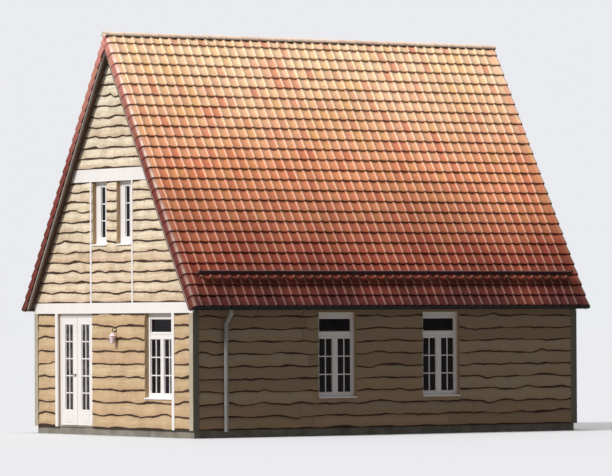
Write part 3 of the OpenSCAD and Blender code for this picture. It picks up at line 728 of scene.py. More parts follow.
NODES_BY_FINISH = {
    "stone": ("plinth", "door_threshold"),
    "floor": ("ground_floor", "attic_floor"),
    "wall": ("front_wall_left", "front_wall_right", "front_gable", "back_wall", "back_gable",
             "left_side_wall", "right_side_wall"),
    "rafters": ("roof_deck_left", "roof_deck_right"),
    "tiles": ("roof_tiles_left", "roof_tiles_right"),
    "ridge": ("ridge_tiles",),
    "seal": ("ridge_seal",),
    "verge": ("verge_tiles_front", "verge_tiles_back"),
    "barge": ("barge_boards_front", "barge_boards_back", "fascia_boards"),
    "gutter": ("gutters",),
    "zinc": ("downpipes",),
    "guard": ("snow_guards",),
    "white": ("front_bands", "back_bands", "front_trims", "back_trims", "door_posts", "door_head",
              "door_leaf_left", "door_leaf_right", "front_window_frames", "back_window_frames",
              "side_window_frames"),
    "corner": ("corner_boards",),
    "metal": ("door_hinges", "door_handles"),
    "glass": ("front_window_glass", "back_window_glass", "side_window_glass"),
    "door_glass": ("door_glass_left", "door_glass_right"),
    "lamp": ("wall_lamp",),
}


class COTTAGE_OT_finish_solids(bpy.types.Operator):
    """Give every solid of the house its finish"""

    bl_idname = "cottage.finish_solids"
    bl_label = "Finish the solids"

    def execute(self, context):
        make_materials()
        for finish, nodes in NODES_BY_FINISH.items():
            for node in nodes:
                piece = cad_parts[node]
                if not piece.material_slots:
                    piece.data.materials.append(None)
                for slot in piece.material_slots:
                    slot.material = MATERIALS[finish]
        return {"FINISHED"}


def piece_tone(chance):
    """The tone of a single tile or board, from 0 to 1 and mostly near the middle."""
    return min(1.0, max(0.0, chance.gauss(0.5, 0.2)))


SKEW = 0.003  # how far a tile may lie up or down the slope from its place
UNEVEN = (-0.0015, 0.0025)  # how low or high a tile may lie
PROFILE_WIDTH = 0.215  # the width that the profile is drawn for
# Across a pantile, from its roll over its pan to the next roll: place, height and share of the painted
# highlight.
TILE_PROFILE = ((-0.002, 0.000, 0.0), (-0.002, 0.014, 0.1), (0.006, 0.022, 0.7), (0.018, 0.027, 1.0),
                (0.034, 0.026, 0.4), (0.056, 0.018, 0.0), (0.084, 0.008, 0.0), (0.118, 0.001, 0.0),
                (0.160, -0.001, 0.0), (0.217, 0.002, 0.0))


def tile_rows(lines, butt_s):
    """Places down a tile from its head to its underside: s, drop, lap, which paints shade under the
    course above and under the edge, and share of the crest's painted highlight.
    """
    head_s = lines.head(butt_s)
    cover = butt_s - head_s
    nose_s = butt_s + 0.014
    thick = lines.roof.tile_thick
    return ((head_s, 0.0, 1.0, 0.2), (head_s + 0.17 * cover, 0.0, 0.62, 0.6),
            (head_s + 0.45 * cover, 0.0, 0.1, 1.0), (head_s + 0.95 * cover, 0.0, 0.0, 1.0),
            (nose_s - 0.003, 0.0015, 0.0, 1.0), (nose_s, 0.006, 0.3, 0.5),
            (nose_s - 0.002, thick, 1.0, 0.0), (butt_s - 0.02, thick, 1.2, 0.0))


def add_under_slab(shape, side, lines):
    """The dark slab between the boarding and the tiles, a little inside their edges."""
    over_deck, under_tiles, edge, eave = 0.002, 0.034, 0.018, 0.004
    low_n, high_n = lines.roof.deck + over_deck, lines.tile_n - under_tiles
    half = lines.outer_y - edge
    section = ((-half, low_n), (half, low_n), (half, high_n), (-half, high_n))
    add_rings(shape, [[WALLS.slope(side, s, y, n) for y, n in section]
                      for s in (lines.top_s, lines.eave_s - eave)], 1)


def tile_field(side):
    """The pantiles of one slope, course by course, over a dark slab."""
    lines = Slope()
    name = "pantiles_right" if side > 0 else "pantiles_left"
    shape = Shape(name)
    chance = random.Random(SEEDS[name])
    stretch = lines.column / PROFILE_WIDTH
    count = len(TILE_PROFILE)
    for butt_s in lines.butts():
        rows = tile_rows(lines, butt_s)
        faces = [(i * count + j, (i + 1) * count + j, (i + 1) * count + j + 1, i * count + j + 1)
                 for i in range(len(rows) - 1) for j in range(count - 1)]
        if side < 0:
            faces = [tuple(reversed(face)) for face in faces]
        for column in range(lines.columns):
            tone = piece_tone(chance)
            y0 = -lines.field_y + column * lines.column
            skew = chance.uniform(-SKEW, SKEW)
            level = lines.tile_n + lines.roof.lift + chance.uniform(*UNEVEN)
            points, laps, crests = [], [], []
            for row, (s, drop, lap, share) in enumerate(rows):
                shift = skew if row else 0.0
                for along, rise, crest in TILE_PROFILE:
                    n = level + rise - drop - lines.fall(s, butt_s)
                    points.append(WALLS.slope(side, s + shift, y0 + along * stretch, n))
                    laps.append(lap)
                    crests.append(crest * share)
            shape.add(points, faces, 0, tone, laps, crests)
    add_under_slab(shape, side, lines)
    piece = shape.build(["tiles", "seal"], smooth=True, turn_out=False)
    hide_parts("roof_tiles_right" if side > 0 else "roof_tiles_left")


class COTTAGE_OT_pantiles(bpy.types.Operator):
    """Lay the pantiles on both slopes"""

    bl_idname = "cottage.pantiles"
    bl_label = "Pantiles"

    def execute(self, context):
        tile_field(1)
        tile_field(-1)
        return {"FINISHED"}


def verge_section(roof, inset):
    """Section of a verge tile: distance in from the gable edge, height and how much painted highlight
    it takes.
    """
    corner, wall, top, lip, under = 0.062, 0.016, 0.020, 0.018, -0.004
    foot = lip - roof.verge_depth
    # Painted highlight on the rounded corner of each verge tile.
    bend_highlight = (0.9, 1.0, 0.6, 0.1, 0.0)
    points = [(roof.verge_width, top - 0.004, 0.0), (corner + inset, top, 0.3)]
    for i, wear in enumerate(bend_highlight, 1):
        angle = math.pi / 2 * i / len(bend_highlight)
        points.append((inset + corner * (1 - math.sin(angle)), top - corner * (1 - math.cos(angle)),
                       wear))
    points += [(inset, foot, 0.0), (inset + wall, foot, 0.0), (inset + wall, under, 0.0),
               (roof.verge_width, under + 0.002, 0.0)]
    return points


def verge_rows(lines, butt_s):
    """Places down a verge tile from its head to its nose: s, inset, drop, lap, which paints shade under
    the tile above, and share of the painted highlight.
    """
    head_s = lines.head(butt_s)
    return ((head_s, 0.015, 0.0, 1.0, 0.0), (head_s + 0.03, 0.014, 0.0, 0.5, 0.2),
            (head_s + 0.07, 0.010, 0.0, 0.0, 0.5), (butt_s - 0.06, 0.001, 0.0, 0.0, 1.0),
            (butt_s, 0.0, 0.0, 0.0, 1.0), (butt_s + 0.011, 0.003, 0.003, 0.0, 0.4),
            (butt_s + 0.016, 0.009, 0.009, 0.7, 0.0))


def verge_row(shape, side, end, chance):
    """The verge tiles up one slope at one gable; end is -1 at the front and 1 at the back."""
    lines = Slope()
    off_middle = 0.0005
    for butt_s in lines.butts():
        rings, laps, crests = [], [], []
        for s, inset, drop, lap, share in verge_rows(lines, butt_s):
            n = lines.tile_n - lines.fall(s, butt_s) - drop
            section = verge_section(lines.roof, inset)
            ring = [WALLS.slope(side, s, end * (lines.outer_y - a), n + rise) for a, rise, _ in section]
            rings.append([(side * max(off_middle, side * x), y, z) for x, y, z in ring])
            laps += [lap] * len(section)
            crests += [crest * share for _, _, crest in section]
        ends = [0, 0]
        # Each verge tile's top takes the tile clay and its front the darker verge clay, as painted
        # shade.
        slots = ([1] + [0] * (len(rings[0]) - 1)) * (len(rings) - 1) + ends
        add_rings(shape, rings, slots, chance.uniform(0.1, 0.9), laps, crests)


class COTTAGE_OT_verge_tiles(bpy.types.Operator):
    """Lay the verge tiles along both gables"""

    bl_idname = "cottage.verge_tiles"
    bl_label = "Verge tiles"

    def execute(self, context):
        chance = random.Random(SEEDS["verge_tiles"])
        for name, end in (("verge_tiles_front", -1), ("verge_tiles_back", 1)):
            shape = Shape("laid_" + name)
            for side in (1, -1):
                verge_row(shape, side, end, chance)
            piece = shape.build(["verge", "tiles"])
            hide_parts(name)
        return {"FINISHED"}


class COTTAGE_OT_barge_strips(bpy.types.Operator):
    """Nail the pale strips on the barge boards, whose pale colour also paints the highlight along the
    boards' edge
    """

    bl_idname = "cottage.barge_strips"
    bl_label = "Barge strips"

    def execute(self, context):
        lines = Slope()
        high_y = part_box("barge_boards_back")[1][1]
        top_s, low_s = 0.25, lines.eave_s - 0.08
        low_n, high_n, bite, proud = 0.008, 0.028, 0.002, 0.007
        shape = Shape("barge_strips")
        for end in (-1, 1):
            for side in (-1, 1):
                slope_block(shape, side, (top_s, end * (high_y - bite), low_n),
                            (low_s, end * (high_y + proud), high_n))
        shape.build(["strip"])
        return {"FINISHED"}


def half_ring(y, base_z, outer, inner):
    """Section of a half round tile at y."""
    sides = 16
    ring = []
    for radius, steps in ((outer, range(sides + 1)), (inner, range(sides, -1, -1))):
        for k in steps:
            angle = math.pi * k / sides
            ring.append((radius * math.cos(angle), y, base_z + radius * math.sin(angle)))
    return ring


class COTTAGE_OT_ridge_tiles(bpy.types.Operator):
    """Lay the half round tiles along the ridge, with a disc and a plate at each end"""

    bl_idname = "cottage.ridge_tiles"
    bl_label = "Ridge tiles"

    def execute(self, context):
        low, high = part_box("ridge_tiles")
        outer = high[2] - low[2]
        wall, wander = 0.014, 0.002
        disc_thick, disc_in, disc_clear, plate_half, plate_drop = 0.012, 0.004, 0.001, 0.074, 0.095
        shape = Shape("laid_ridge_tiles")
        chance = random.Random(SEEDS["ridge_tiles"])
        count = round((high[1] - low[1]) / bpy.context.scene.cottage_roof.ridge_length)
        length = (high[1] - low[1]) / count
        collar = ((0.0, 0.002), (0.004, 0.0), (0.044, 0.0), (0.052, 0.009))
        rows = (*collar, (length + 0.02, 0.013))
        for i in range(count):
            y0 = low[1] + i * length
            base_z = low[2] + chance.uniform(-wander, wander)
            rings = [half_ring(min(y0 + along, high[1]), base_z, outer - drop, outer - drop - wall)
                     for along, drop in rows]
            # The laps darken the lower part of each ridge tile: painted shade of the dark gap under it.
            laps = [max(0.0, 1.0 - (z - base_z) / (0.5 * outer)) for ring in rings for _, _, z in ring]
            add_rings(shape, rings, 0, chance.uniform(0.2, 0.8), laps)
        for y, inward in ((low[1] + disc_in, 1), (high[1] - disc_in, -1)):
            disc = half_ring(y, low[2], outer - wall - disc_clear, disc_clear)
            plate = [(-plate_half, y, low[2]), (plate_half, y, low[2]), (0.0, y, low[2] - plate_drop)]
            for slot, ring in enumerate((disc, plate)):
                add_rings(shape, [ring, [(x, y + inward * disc_thick, z) for x, y, z in ring]], slot)
        piece = shape.build(["ridge", "verge"])
        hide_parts("ridge_tiles")
        return {"FINISHED"}


# The waves of a board's edge: each one's range of depth, as a share, and of turns in two metres.
WAVES = (((0.4, 1.0), (1.1, 2.3)), ((0.3, 0.7), (2.2, 4.5)), ((0.1, 0.35), (7.0, 12.0)))
KNOTS = 5  # single bends in a board's edge, each with its place, depth and width
KNOT_PLACE = (-4.6, 4.6)
KNOT_DEPTH = (-3.2, 3.8)  # as a share of the usual depth of the waves
KNOT_WIDTH = (0.08, 0.26)
FULL_TURN = 6.3  # in radians
LOWEST_BARK, HIGHEST_BARK = 0.012, 0.055
BARK_WANDER = 0.3  # as a share of the bark's height
EDGE_DROP = 0.006  # how far the lower edges hang under their row
LEAST_LAP = 0.008  # how far a board always reaches behind the one above
BOARD_GAP = 0.002  # from a row's end or joint to the board
STAGGER = 0.0015  # how much shorter the boards of each second row are, at both ends
SLIVER = 0.010  # no strip over or under an opening is lower than this
WIDE_WALL = 4.0  # rows have two joints where the wall's half width is over this
JOINTS = (1.2, 2.2)  # range of a joint's distance from the middle
BARK_SLOT = 2  # place of the bark among the materials of the cladding


def wave_line(chance, depth):
    """A function of the distance along a board: gentle waves with a few sharper bends at knots."""
    waves = [(chance.uniform(*size) * depth, chance.uniform(*rate), chance.uniform(0, FULL_TURN))
             for size, rate in WAVES]
    knots = [(chance.uniform(*KNOT_PLACE), chance.uniform(*KNOT_DEPTH) * depth,
              chance.uniform(*KNOT_WIDTH)) for _ in range(KNOTS)]

    def wave(a):
        total = sum(size * math.sin(rate * math.pi * a + phase) for size, rate, phase in waves)
        return total + sum(size * math.exp(-((a - at) / wide) ** 2) for at, size, wide in knots)
    return wave


class Board:
    """One board: its row, its tone, the wave of its lower edge and the height of its bark."""

    def __init__(self, row_low, row_top, chance, all_bark):
        self.sizes = bpy.context.scene.cottage_boards
        self.all_bark = all_bark
        self.row_low = row_low
        self.row_top = row_top
        self.tone = piece_tone(chance)
        self.wave = wave_line(chance, self.sizes.wave)
        self.bark_wave = wave_line(chance, self.sizes.bark * BARK_WANDER)

    def rise(self, a):
        """How far the lower edge lies above its row at a, and always under the top behind it."""
        return min(self.wave(a), self.sizes.lap - LEAST_LAP) - EDGE_DROP

    def hang(self, a):
        """Height of the bark at a."""
        if self.all_bark:
            return self.row_top
        return min(HIGHEST_BARK, max(LOWEST_BARK, self.sizes.bark + self.bark_wave(a)))

    def out(self, z):
        """How far the board's face stands off the wall at this height."""
        down = min(1.0, max(0.0, (self.row_top - z) / (self.row_top - self.row_low)))
        return self.sizes.thin + (self.sizes.thick - self.sizes.thin) * down


def add_board(shape, place, board, a_values, top, lows, bark, slot):
    """One board or part of one: its face, its waney lower edge and its two ends."""
    undercut, back_up, cut_edge, most_bark = 0.006, 0.003, 0.001, 0.9
    points, laps = [], []
    for a, low in zip(a_values, lows):
        edge = min(board.hang(a), most_bark * (top - low)) if bark else cut_edge
        section = ((top, board.out(top), 0.0), (low + edge, board.out(low + edge), 0.9),
                   (low, board.out(low) - undercut, 1.0), (low + back_up, 0.0, 1.0), (top, 0.0, 0.0))
        for z, out, lap in section:
            points.append(place(a, out, z))
            laps.append(lap)
    count = len(section)
    last = count * (len(a_values) - 1)
    faces = [(i + j, i + j + 1, i + j + count + 1, i + j + count)
             for i in range(0, last, count) for j in range(count - 1)]
    slots = [slot if j == 0 else BARK_SLOT for _ in range(len(a_values) - 1) for j in range(count - 1)]
    faces += [tuple(reversed(range(count))), tuple(range(last, last + count))]
    shape.add(points, faces, slots + [slot, slot], board.tone, laps)


def split_span(low, high, holes, row_low, row_top):
    """Cuts a row at the holes: gives (start, end, top, low, whether the edge is waney)."""
    cuts = sorted({low, high, *[c for hole in holes for c in hole[:2] if low < c < high]})
    parts = []
    for a, b in zip(cuts[:-1], cuts[1:]):
        middle = (a + b) / 2
        inside = [hole for hole in holes
                  if hole[0] < middle < hole[1] and hole[2] < row_top and hole[3] > row_low]
        if not inside:
            parts.append((a, b, row_top, row_low, True))
            continue
        floor = min(hole[2] for hole in inside)
        ceiling = max(hole[3] for hole in inside)
        if floor > row_low + SLIVER:
            parts.append((a, b, floor, row_low, True))
        if ceiling < row_top - SLIVER:
            parts.append((a, b, row_top, ceiling, False))
    joined = []
    for part in parts:
        if joined and joined[-1][1] == part[0] and joined[-1][2:] == part[2:]:
            joined[-1] = (joined[-1][0], *part[1:])
        else:
            joined.append(part)
    return joined


def clad_rows(shape, place, half_at, holes, z_low, z_high, row, chance, slot, hanging=False):
    """Rows of boards between two heights; half_at gives the wall's half width at a height.

    The lowest row has a straight edge, unless it is a hanging one, which is all bark.
    """
    lap = bpy.context.scene.cottage_boards.lap
    wave_step = 0.06
    count = max(1, round((z_high - z_low) / row))
    height = (z_high - z_low) / count
    for i in range(count):
        row_low = z_low + i * height
        row_top = row_low + height
        stagger = STAGGER * (i % 2)
        half = half_at(row_low)
        joints = [-half, half]
        if half > WIDE_WALL:
            near, far = JOINTS
            joints = [-half, chance.uniform(-far, -near), chance.uniform(near, far), half]
        for start, end in zip(joints[:-1], joints[1:]):
            board = Board(row_low, row_top, chance, hanging)
            for a0, a1, top, low, waney in split_span(start + BOARD_GAP, end - BOARD_GAP, holes,
                                                      row_low, row_top):
                a0 += stagger
                a1 -= stagger
                steps = max(2, round((a1 - a0) / wave_step))
                a_values = [a0 + (a1 - a0) * k / steps for k in range(steps + 1)]
                wavy = waney and (i > 0 or hanging)
                lows = [low + (board.rise(a) if wavy else 0.0) for a in a_values]
                reach = min(top + lap, z_high) if top == row_top else top
                add_board(shape, place, board, a_values, reach, lows, waney, slot)


EAVES_DROP = 0.05  # from the top of the walls, or the peak, down to the top of the boards


def gable_face(name, end, holes):
    """The boards of a gable wall; end is -1 at the front and 1 at the back."""
    sizes = bpy.context.scene.cottage_boards
    shape = Shape(name)
    chance = random.Random(SEEDS[name])
    gable, ground = 0, 1
    band_low = WALLS.floor_z + sizes.upper_band
    band_high = band_low + sizes.upper_band_w

    def place(a, out, z):
        return (-end * a, end * (WALLS.half_l + out), z)

    def whole(_):
        return WALLS.half_w - sizes.corner

    for half_at, low, high, row, slot in (
            (whole, WALLS.floor_z, WALLS.head_z, sizes.lower_rows, ground),
            (WALLS.under_roof, WALLS.wall_top, band_low, sizes.upper_rows, gable),
            (WALLS.under_roof, band_high, WALLS.peak_z - EAVES_DROP, sizes.upper_rows, gable)):
        clad_rows(shape, place, half_at, holes, low, high, row, chance, slot)
    # Strips of all-bark edges under the bands, which also paint the shade that the bands cast.
    for half_at, top in ((whole, WALLS.head_z), (WALLS.under_roof, band_low)):
        clad_rows(shape, place, half_at, holes, top - sizes.tuck, top, sizes.tuck, chance, gable, True)
    shape.build(["gable_boards", "ground_boards", "bark"])


def side_face(name, side, holes):
    """The boards of a side wall; side is -1 or 1."""
    sizes = bpy.context.scene.cottage_boards
    shape = Shape(name)

    def place(a, out, z):
        return (side * (WALLS.half_w + out), side * a, z)

    def whole(_):
        return WALLS.half_l - sizes.corner

    clad_rows(shape, place, whole, holes, WALLS.floor_z, WALLS.wall_top - EAVES_DROP,
              sizes.lower_rows, random.Random(SEEDS[name]), 0)
    shape.build(["shaded_side_boards", "shaded_side_boards", "bark"])


def about(middle, width):
    """The two ends of a span, given its middle and its width."""
    return (middle - width / 2, middle + width / 2)


def clad_gables():
    """The boards of both gable walls, cut at the doors, windows, trims and battens."""
    sizes = bpy.context.scene.cottage_boards
    floor_z, head_z = WALLS.floor_z, WALLS.head_z
    upper_z = floor_z + sizes.upper_band
    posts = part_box("door_posts")
    door = (posts[0][0] - sizes.trim, posts[1][0], floor_z, head_z)
    inner, outer = about(sizes.window_x, sizes.window_w)
    right_holes = [(inner, outer, floor_z + sizes.sill, head_z),
                   (outer, outer + sizes.trim, floor_z, head_z)]
    left_holes = [(-b, -a, low, high) for a, b, low, high in right_holes]
    high_holes = []
    for side in (-1, 1):
        high_holes.append((*about(side * sizes.slit_x, sizes.slit_w), floor_z + sizes.slit_sill,
                           upper_z))
        high_holes.append((*about(side * sizes.batten_x, sizes.batten_w), WALLS.wall_top, upper_z))
    gable_face("boards_front", -1, [door, *right_holes, *high_holes])
    gable_face("boards_back", 1, [*left_holes, *right_holes, *high_holes])


def clad_sides():
    """The boards of both side walls, cut at the windows."""
    sizes = bpy.context.scene.cottage_boards
    holes = [(*about(middle, sizes.side_window_w), WALLS.floor_z + sizes.sill, WALLS.head_z)
             for middle in (-sizes.side_window_y, sizes.side_window_y)]
    side_face("boards_right", 1, holes)
    side_face("boards_left", -1, holes)


def cap_corners():
    """The short boards over the corner boards, from the door head up to the eaves."""
    caps = Shape("corner_caps")
    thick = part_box("corner_boards")[1][0] - WALLS.half_w
    wide = bpy.context.scene.cottage_boards.corner
    for side in (-1, 1):
        for end in (-1, 1):
            xs = sorted((side * WALLS.half_w, side * (WALLS.half_w + thick)))
            ys = sorted((end * WALLS.half_l, end * (WALLS.half_l - wide)))
            add_block(caps, (xs[0], ys[0], WALLS.head_z), (xs[1], ys[1], WALLS.wall_top - EAVES_DROP))
    caps.build(["corner"])


class COTTAGE_OT_boards(bpy.types.Operator):
    """Nail the waney-edge boards on all four walls"""

    bl_idname = "cottage.boards"
    bl_label = "Waney-edge boards"

    def execute(self, context):
        clad_gables()
        clad_sides()
        cap_corners()
        return {"FINISHED"}


def on_plane(axis, plane, sign):
    """A function that puts (along, out, z) on an upright plane that faces along x (0) or y (1)."""
    def place(a, out, z):
        return (plane + sign * out, a, z) if axis == 0 else (a, plane + sign * out, z)
    return place


def add_bar(shape, place, a0, a1, z0, z1, depth):
    """A bar from the plane out to its face, with sloping shoulders."""
    widest_slope = 0.006
    slope = min(widest_slope, (a1 - a0) / 4, (z1 - z0) / 4)
    points = [place(a, out, z) for inset, out in ((0.0, 0.0), (slope, depth))
              for a, z in ((a0 + inset, z0 + inset), (a1 - inset, z0 + inset),
                           (a1 - inset, z1 - inset), (a0 + inset, z1 - inset))]
    shape.add(points, BOX_FACES)


def add_surround(shape, place, box, section):
    """A mitred frame inside the box (a0, a1, z0, z1); section lists (inward, out) points."""
    a0, a1, z0, z1 = box
    count = len(section)
    points = [place(a0 + d if left else a1 - d, out, z0 + d if low else z1 - d)
              for left, low in ((True, True), (False, True), (False, False), (True, False))
              for d, out in section]
    faces = [(i * count + j, i * count + (j + 1) % count, (i + 1) % 4 * count + (j + 1) % count,
              (i + 1) % 4 * count + j) for i in range(4) for j in range(count)]
    shape.add(points, faces)


def flat_section(width, proud):
    """Section of a flat frame with its edges taken off."""
    edge = 0.003
    return [(0.0, 0.0), (0.0, proud - edge), (edge, proud), (width - edge, proud),
            (width, proud - edge), (width, 0.0)]


def grown(box, margin):
    """A rectangle (a0, a1, z0, z1) made larger all round."""
    return (box[0] - margin, box[1] + margin, box[2] - margin, box[3] + margin)


def add_pane_bars(shape, low, high, columns, rows):
    """Glazing bars and putty on both faces of a pane; the upright bars stand a little prouder."""
    sizes = bpy.context.scene.cottage_joinery
    proud, putty = 0.001, 0.010
    axis = 0 if high[0] - low[0] < high[1] - low[1] else 1
    a0, a1, z0, z1 = low[1 - axis], high[1 - axis], low[2], high[2]
    for plane, sign in ((low[axis], -1), (high[axis], 1)):
        place = on_plane(axis, plane, sign)
        for i in range(1, columns):
            span = about(a0 + (a1 - a0) * i / columns, sizes.bar_width)
            add_bar(shape, place, *span, z0, z1, sizes.bar_depth + proud)
        for i in range(1, rows):
            span = about(z0 + (z1 - z0) * i / rows, sizes.bar_width)
            add_bar(shape, place, a0, a1, *span, sizes.bar_depth)
        add_surround(shape, place, (a0, a1, z0, z1), [(0.0, 0.0), (0.0, putty), (putty, 0.0)])


class COTTAGE_OT_door_joinery(bpy.types.Operator):
    """Put the glazing bars, beads and panels on the doors"""

    bl_idname = "cottage.door_joinery"
    bl_label = "Door joinery"

    def execute(self, context):
        section = flat_section(0.018, 0.006)
        bead, bottom_rail, lock_rail = 0.020, 0.070, 0.060
        field_in, field_proud = 0.035, 0.005
        for side, body in (("left", LEFT_DOOR), ("right", RIGHT_DOOR)):
            glass_low, glass_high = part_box("door_glass_" + side)
            leaf_low, leaf_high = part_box("door_leaf_" + side)
            shape = Shape("door_joinery_" + side)
            add_pane_bars(shape, glass_low, glass_high, 2, 5)
            glass = (glass_low[0], glass_high[0], glass_low[2], glass_high[2])
            panel = (*glass[:2], leaf_low[2] + bottom_rail, glass_low[2] - lock_rail)
            for plane, sign in ((leaf_low[1], -1), (leaf_high[1], 1)):
                place = on_plane(1, plane, sign)
                add_surround(shape, place, grown(glass, bead), section)
                add_surround(shape, place, panel, section)
                add_bar(shape, place, *grown(panel, -field_in), field_proud)
            shape.build(["white"], body)
        return {"FINISHED"}


def add_sill(shape, place, a0, a1, z, reach):
    """A sloping sill with a dark gap under its nose."""
    nose, under, thick, front = 0.012, 0.010, 0.030, 0.012
    section = [(0.0, z), (0.0, z + thick), (reach, z + front), (reach, z - under),
               (reach - nose, z - under), (reach - nose, z)]
    add_rings(shape, [[place(a, out, height) for out, height in section] for a in (a0, a1)])


def outer_face(low, high, axis):
    """The side of the house on which a box lies, and the plane of its outer face."""
    return (1, high[axis]) if low[axis] > 0 else (-1, low[axis])


class COTTAGE_OT_window_joinery(bpy.types.Operator):
    """Put the glazing bars, sashes and sills on the windows"""

    bl_idname = "cottage.window_joinery"
    bl_label = "Window joinery"

    def execute(self, context):
        sizes = bpy.context.scene.cottage_joinery
        tallest_fanlight, sill_reach = 0.5, 0.042
        sash = flat_section(sizes.sash_width, sizes.sash_proud)
        for wall, axis, half in (("front", 1, WALLS.half_l), ("back", 1, WALLS.half_l),
                                 ("side", 0, WALLS.half_w)):
            shape = Shape("window_joinery_" + wall)
            frame_low, frame_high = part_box(wall + "_window_frames")
            for low, high in solids_of(wall + "_window_glass"):
                columns, rows = (2, 3) if high[2] - low[2] > tallest_fanlight else (1, 1)
                if low[2] > WALLS.wall_top:
                    columns, rows = 1, 3
                add_pane_bars(shape, low, high, columns, rows)
                sign = outer_face(low, high, axis)[0]
                plane = frame_high[axis] if sign > 0 else frame_low[axis]
                pane = (low[1 - axis], high[1 - axis], low[2], high[2])
                add_surround(shape, on_plane(axis, plane, sign), grown(pane, sizes.sash_width), sash)
            for low, high in solids_of(wall + "_window_frames"):
                sign, plane = outer_face(low, high, axis)
                add_sill(shape, on_plane(axis, plane, sign), low[1 - axis], high[1 - axis], low[2],
                         half - abs(plane) + sill_reach)
            shape.build(["white"])
        return {"FINISHED"}


def add_lantern(shape, x, y, z, brim):
    """The lantern's turned body with its brim and finial, and the six ribs of its glass."""
    add_lathe(shape, (x, y, z), [
        (0.008, 0.000), (0.018, 0.006), (0.018, 0.012), (0.047, 0.016), (0.052, 0.024),
        (0.050, 0.030), (0.062, 0.140), (0.064, 0.146), (brim, 0.150), (brim, 0.162),
        (0.056, 0.170), (0.038, 0.196), (0.020, 0.206), (0.014, 0.222), (0.014, 0.230)])
    for k in range(6):
        angle = math.pi * (k + 0.5) / 3
        rib = [(x + r * math.cos(angle), y + r * math.sin(angle), z + h)
               for r, h in ((0.051, 0.026), (0.063, 0.145))]
        add_tube(shape, rib, 0.003, 6)


def add_scroll(shape, x, lamp_y, wall_y, eye_z):
    """The arm that bends from the wall out over the lantern, and the curl under it."""
    root_y = wall_y - 0.006
    steps, rise = 12, 0.068
    arm = [(x, root_y, eye_z - 0.050)]
    for k in range(steps + 1):
        t = k / steps
        bend = rise * math.sin(math.pi * (0.12 + 0.62 * t))
        arm.append((x, root_y + (lamp_y - root_y) * t, eye_z - 0.035 + bend))
    arm.append((x, lamp_y, eye_z - 0.055))
    add_tube(shape, arm, 0.008, 8, 1)
    curl_y, curl_z, widest, turn = wall_y - 0.050, eye_z - 0.045, 0.026, 0.5
    radii = [widest * (1 - k / 22) for k in range(18)]
    curl = [(x, curl_y + radius * math.cos(turn * k), curl_z + radius * math.sin(turn * k))
            for k, radius in enumerate(radii)]
    add_tube(shape, curl, 0.007, 6, 1)


def add_wall_plate(shape, x, wall_y, z):
    """The oval plate on the wall that carries the scroll."""
    tall = 2.2
    section = ((0.0, 0.022), (0.004, 0.024), (0.008, 0.016), (0.010, 0.006))
    add_rings(shape, [[(x + radius * cos, wall_y - out, z + tall * radius * sin)
                       for cos, sin in circle(24)] for out, radius in section])


class COTTAGE_OT_wall_lamp(bpy.types.Operator):
    """Hang the lantern on its scroll"""

    bl_idname = "cottage.wall_lamp"
    bl_label = "Wall lamp"

    def execute(self, context):
        low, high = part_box("wall_lamp")
        x = (low[0] + high[0]) / 2
        wall_y = high[1]
        radius = (high[0] - low[0]) / 2
        y = low[1] + radius
        eye_up, plate_drop, brim = 0.285, 0.045, 0.008
        eye_z = low[2] + eye_up
        shape = Shape("hung_wall_lamp")
        add_lantern(shape, x, y, low[2], radius + brim)
        add_scroll(shape, x, y, wall_y, eye_z)
        add_wall_plate(shape, x, wall_y, eye_z - plate_drop)
        piece = shape.build(["lamp", "iron"])
        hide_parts("wall_lamp")
        return {"FINISHED"}


class COTTAGE_OT_snow_guards(bpy.types.Operator):
    """Dress the snow guards with rails, slats and clamps"""

    bl_idname = "cottage.snow_guards"
    bl_label = "Snow guards"

    def execute(self, context):
        lines = Slope()
        roof = lines.roof
        s = lines.eave_s - roof.guard_up
        face_s = s + roof.guard_thick / 2
        low_n = lines.tile_n + roof.guard_clear
        high_n = low_n + roof.guard_height
        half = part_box("snow_guards")[1][1]
        rail_in, slat, slat_proud, slat_in, pitch = 0.020, 0.014, 0.005, 0.008, 0.105
        clamps, clamp_in, clamp_half, clamp_up, clamp_down = 6, 0.030, 0.018, 0.018, 0.020
        rail_s = s + 0.006
        rails = ((high_n - 0.004, 0.010), (low_n + 0.006, 0.006))
        slats = round(2 * half / pitch) - 1
        shape = Shape("snow_guard_rails")
        for side in (-1, 1):
            for n, radius in rails:
                ends = [WALLS.slope(side, rail_s, y, n) for y in (-half + rail_in, half - rail_in)]
                add_tube(shape, ends, radius, 10, 1)
            for k in range(1, slats):
                y = -half + 2 * half * k / slats
                slope_block(shape, side, (face_s, y - slat / 2, low_n + slat_in),
                            (face_s + slat_proud, y + slat / 2, high_n - slat_in), 1)
            for k in range(clamps):
                y = (-half + clamp_in) + 2 * (half - clamp_in) * k / (clamps - 1)
                slope_block(shape, side, (s - clamp_up, y - clamp_half, low_n - 0.006),
                            (s + clamp_down, y + clamp_half, high_n + 0.010))
        shape.build(["guard", "rail"])
        return {"FINISHED"}


def dress_gutters():
    """The bead along each gutter's rim, and the straps round its trough."""
    low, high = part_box("gutters")
    inner_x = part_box("fascia_boards")[1][0]
    radius = (high[0] - inner_x) / 2
    middle = inner_x + radius
    straps, strap_half, first_strap, arc_steps = 11, 0.012, 0.25, 12
    rim, end_in = 0.003, 0.004
    inside, outside = radius - 0.001, radius + 0.003
    section = ((inside, -strap_half), (outside, -strap_half), (outside, strap_half),
               (inside, strap_half))
    shape = Shape("gutter_fittings")
    for side in (-1, 1):
        add_tube(shape, [(side * (high[0] - rim), y, high[2] - rim)
                         for y in (low[1] + end_in, high[1] - end_in)], 0.007)
        for k in range(straps):
            y = low[1] + first_strap + (high[1] - low[1] - 2 * first_strap) * k / (straps - 1)
            angles = [-math.pi * i / arc_steps for i in range(arc_steps + 1)]
            add_rings(shape, [[(side * (middle + r * math.cos(angle)), y + shift,
                                high[2] + r * math.sin(angle)) for r, shift in section]
                              for angle in angles])
    shape.build(["gutter"])


